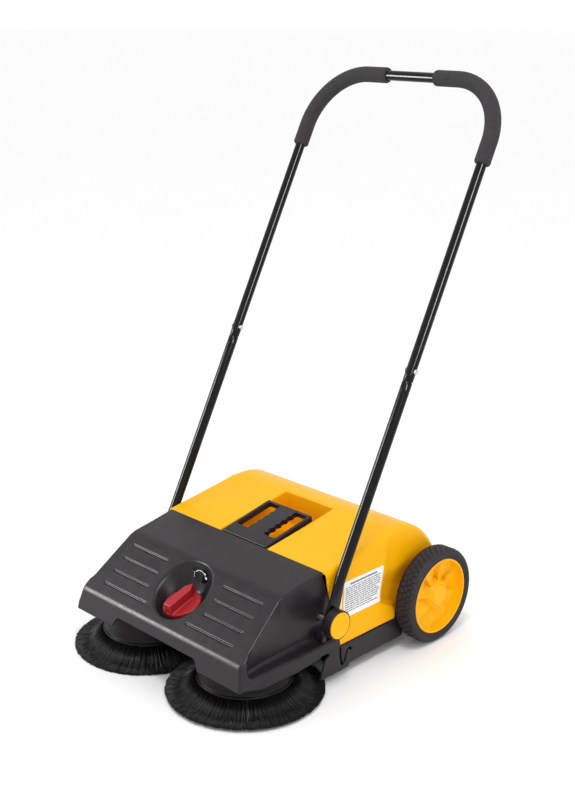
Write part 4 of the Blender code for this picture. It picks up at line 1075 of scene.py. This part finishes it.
def area_light(name, position, target, size, power, lights_surfaces=True):
    """A rectangular lamp; one that lights no surfaces still shows in reflections."""
    data = bpy.data.lights.new(name, "AREA")
    data.shape = "RECTANGLE"
    data.size, data.size_y = size
    data.energy = power
    obj = bpy.data.objects.new(name, data)
    obj.location = position
    obj.rotation_mode = "QUATERNION"
    obj.rotation_quaternion = (Vector(target) - Vector(position)).to_track_quat("-Z", "Y")
    obj.visible_diffuse = lights_surfaces
    bpy.context.collection.objects.link(obj)


def make_stage():
    """White floor and sky, one soft key light and two boxes that make the highlights."""
    mesh = bpy.data.meshes.new("floor")
    half = 150.0
    corners = [(-half, -half, 0), (half, -half, 0), (half, half, 0), (-half, half, 0)]
    mesh.from_pydata(corners, [], [(0, 1, 2, 3)])
    floor = bpy.data.objects.new("floor", mesh)
    bpy.context.collection.objects.link(floor)
    white = Look("floor_paint", 0.75)
    white.colours(white.spread(white.noise(3.0), 0, 1), (0.970, 0.970, 0.972), (0.982, 0.982, 0.984))
    mesh.materials.append(white.made)
    world = bpy.data.worlds.new("studio")
    bpy.context.scene.world = world
    world.use_nodes = True
    sky = world.node_tree.nodes["Background"]
    sky.inputs["Color"].default_value = (1, 1, 1, 1)
    sky.inputs["Strength"].default_value = 1.0
    area_light("key", (0.9, -0.7, 2.8), (0, 0, 0.2), (0.6, 0.6), 22)
    area_light("left_box", (-1.75, -1.75, 1.05), (0, -0.1, 0.3), (0.45, 1.0), 60, False)
    area_light("right_strip", (1.75, -0.50, 1.55), (0, 0.2, 0.7), (0.35, 0.9), 40, False)
    bpy.context.scene.view_settings.view_transform = "Standard"


# ------------ build
make_camera()
make_stage()
dress_cad()
cast("front_hood", hood_field, (-0.228, -0.326, 0.050), (0.228, -0.070, 0.214), 0.0021,
     "chassis", "black_plastic")
cast("container_cover", cover_field, (-0.224, -0.108, 0.058), (0.224, 0.240, 0.250), 0.0027,
     "container", "yellow_plastic")
cast("base_chassis", base_field, (-0.226, -0.130, 0.008), (0.226, 0.238, 0.150), 0.0022,
     "chassis", "black_plastic")
handle_parts()
wheel_parts()
brush_parts()
cast("height_knob", knob_field, np.array(KNOB) - 0.042, np.array(KNOB) + 0.042, 0.0009,
     "setting_knob", "red_plastic")
cast("carry_plate", plate_field, (-0.064, -0.102, 0.176), (0.064, 0.030, 0.242), 0.0011,
     "container", "black_plastic")
label_parts()
icon_parts()
lug_parts()
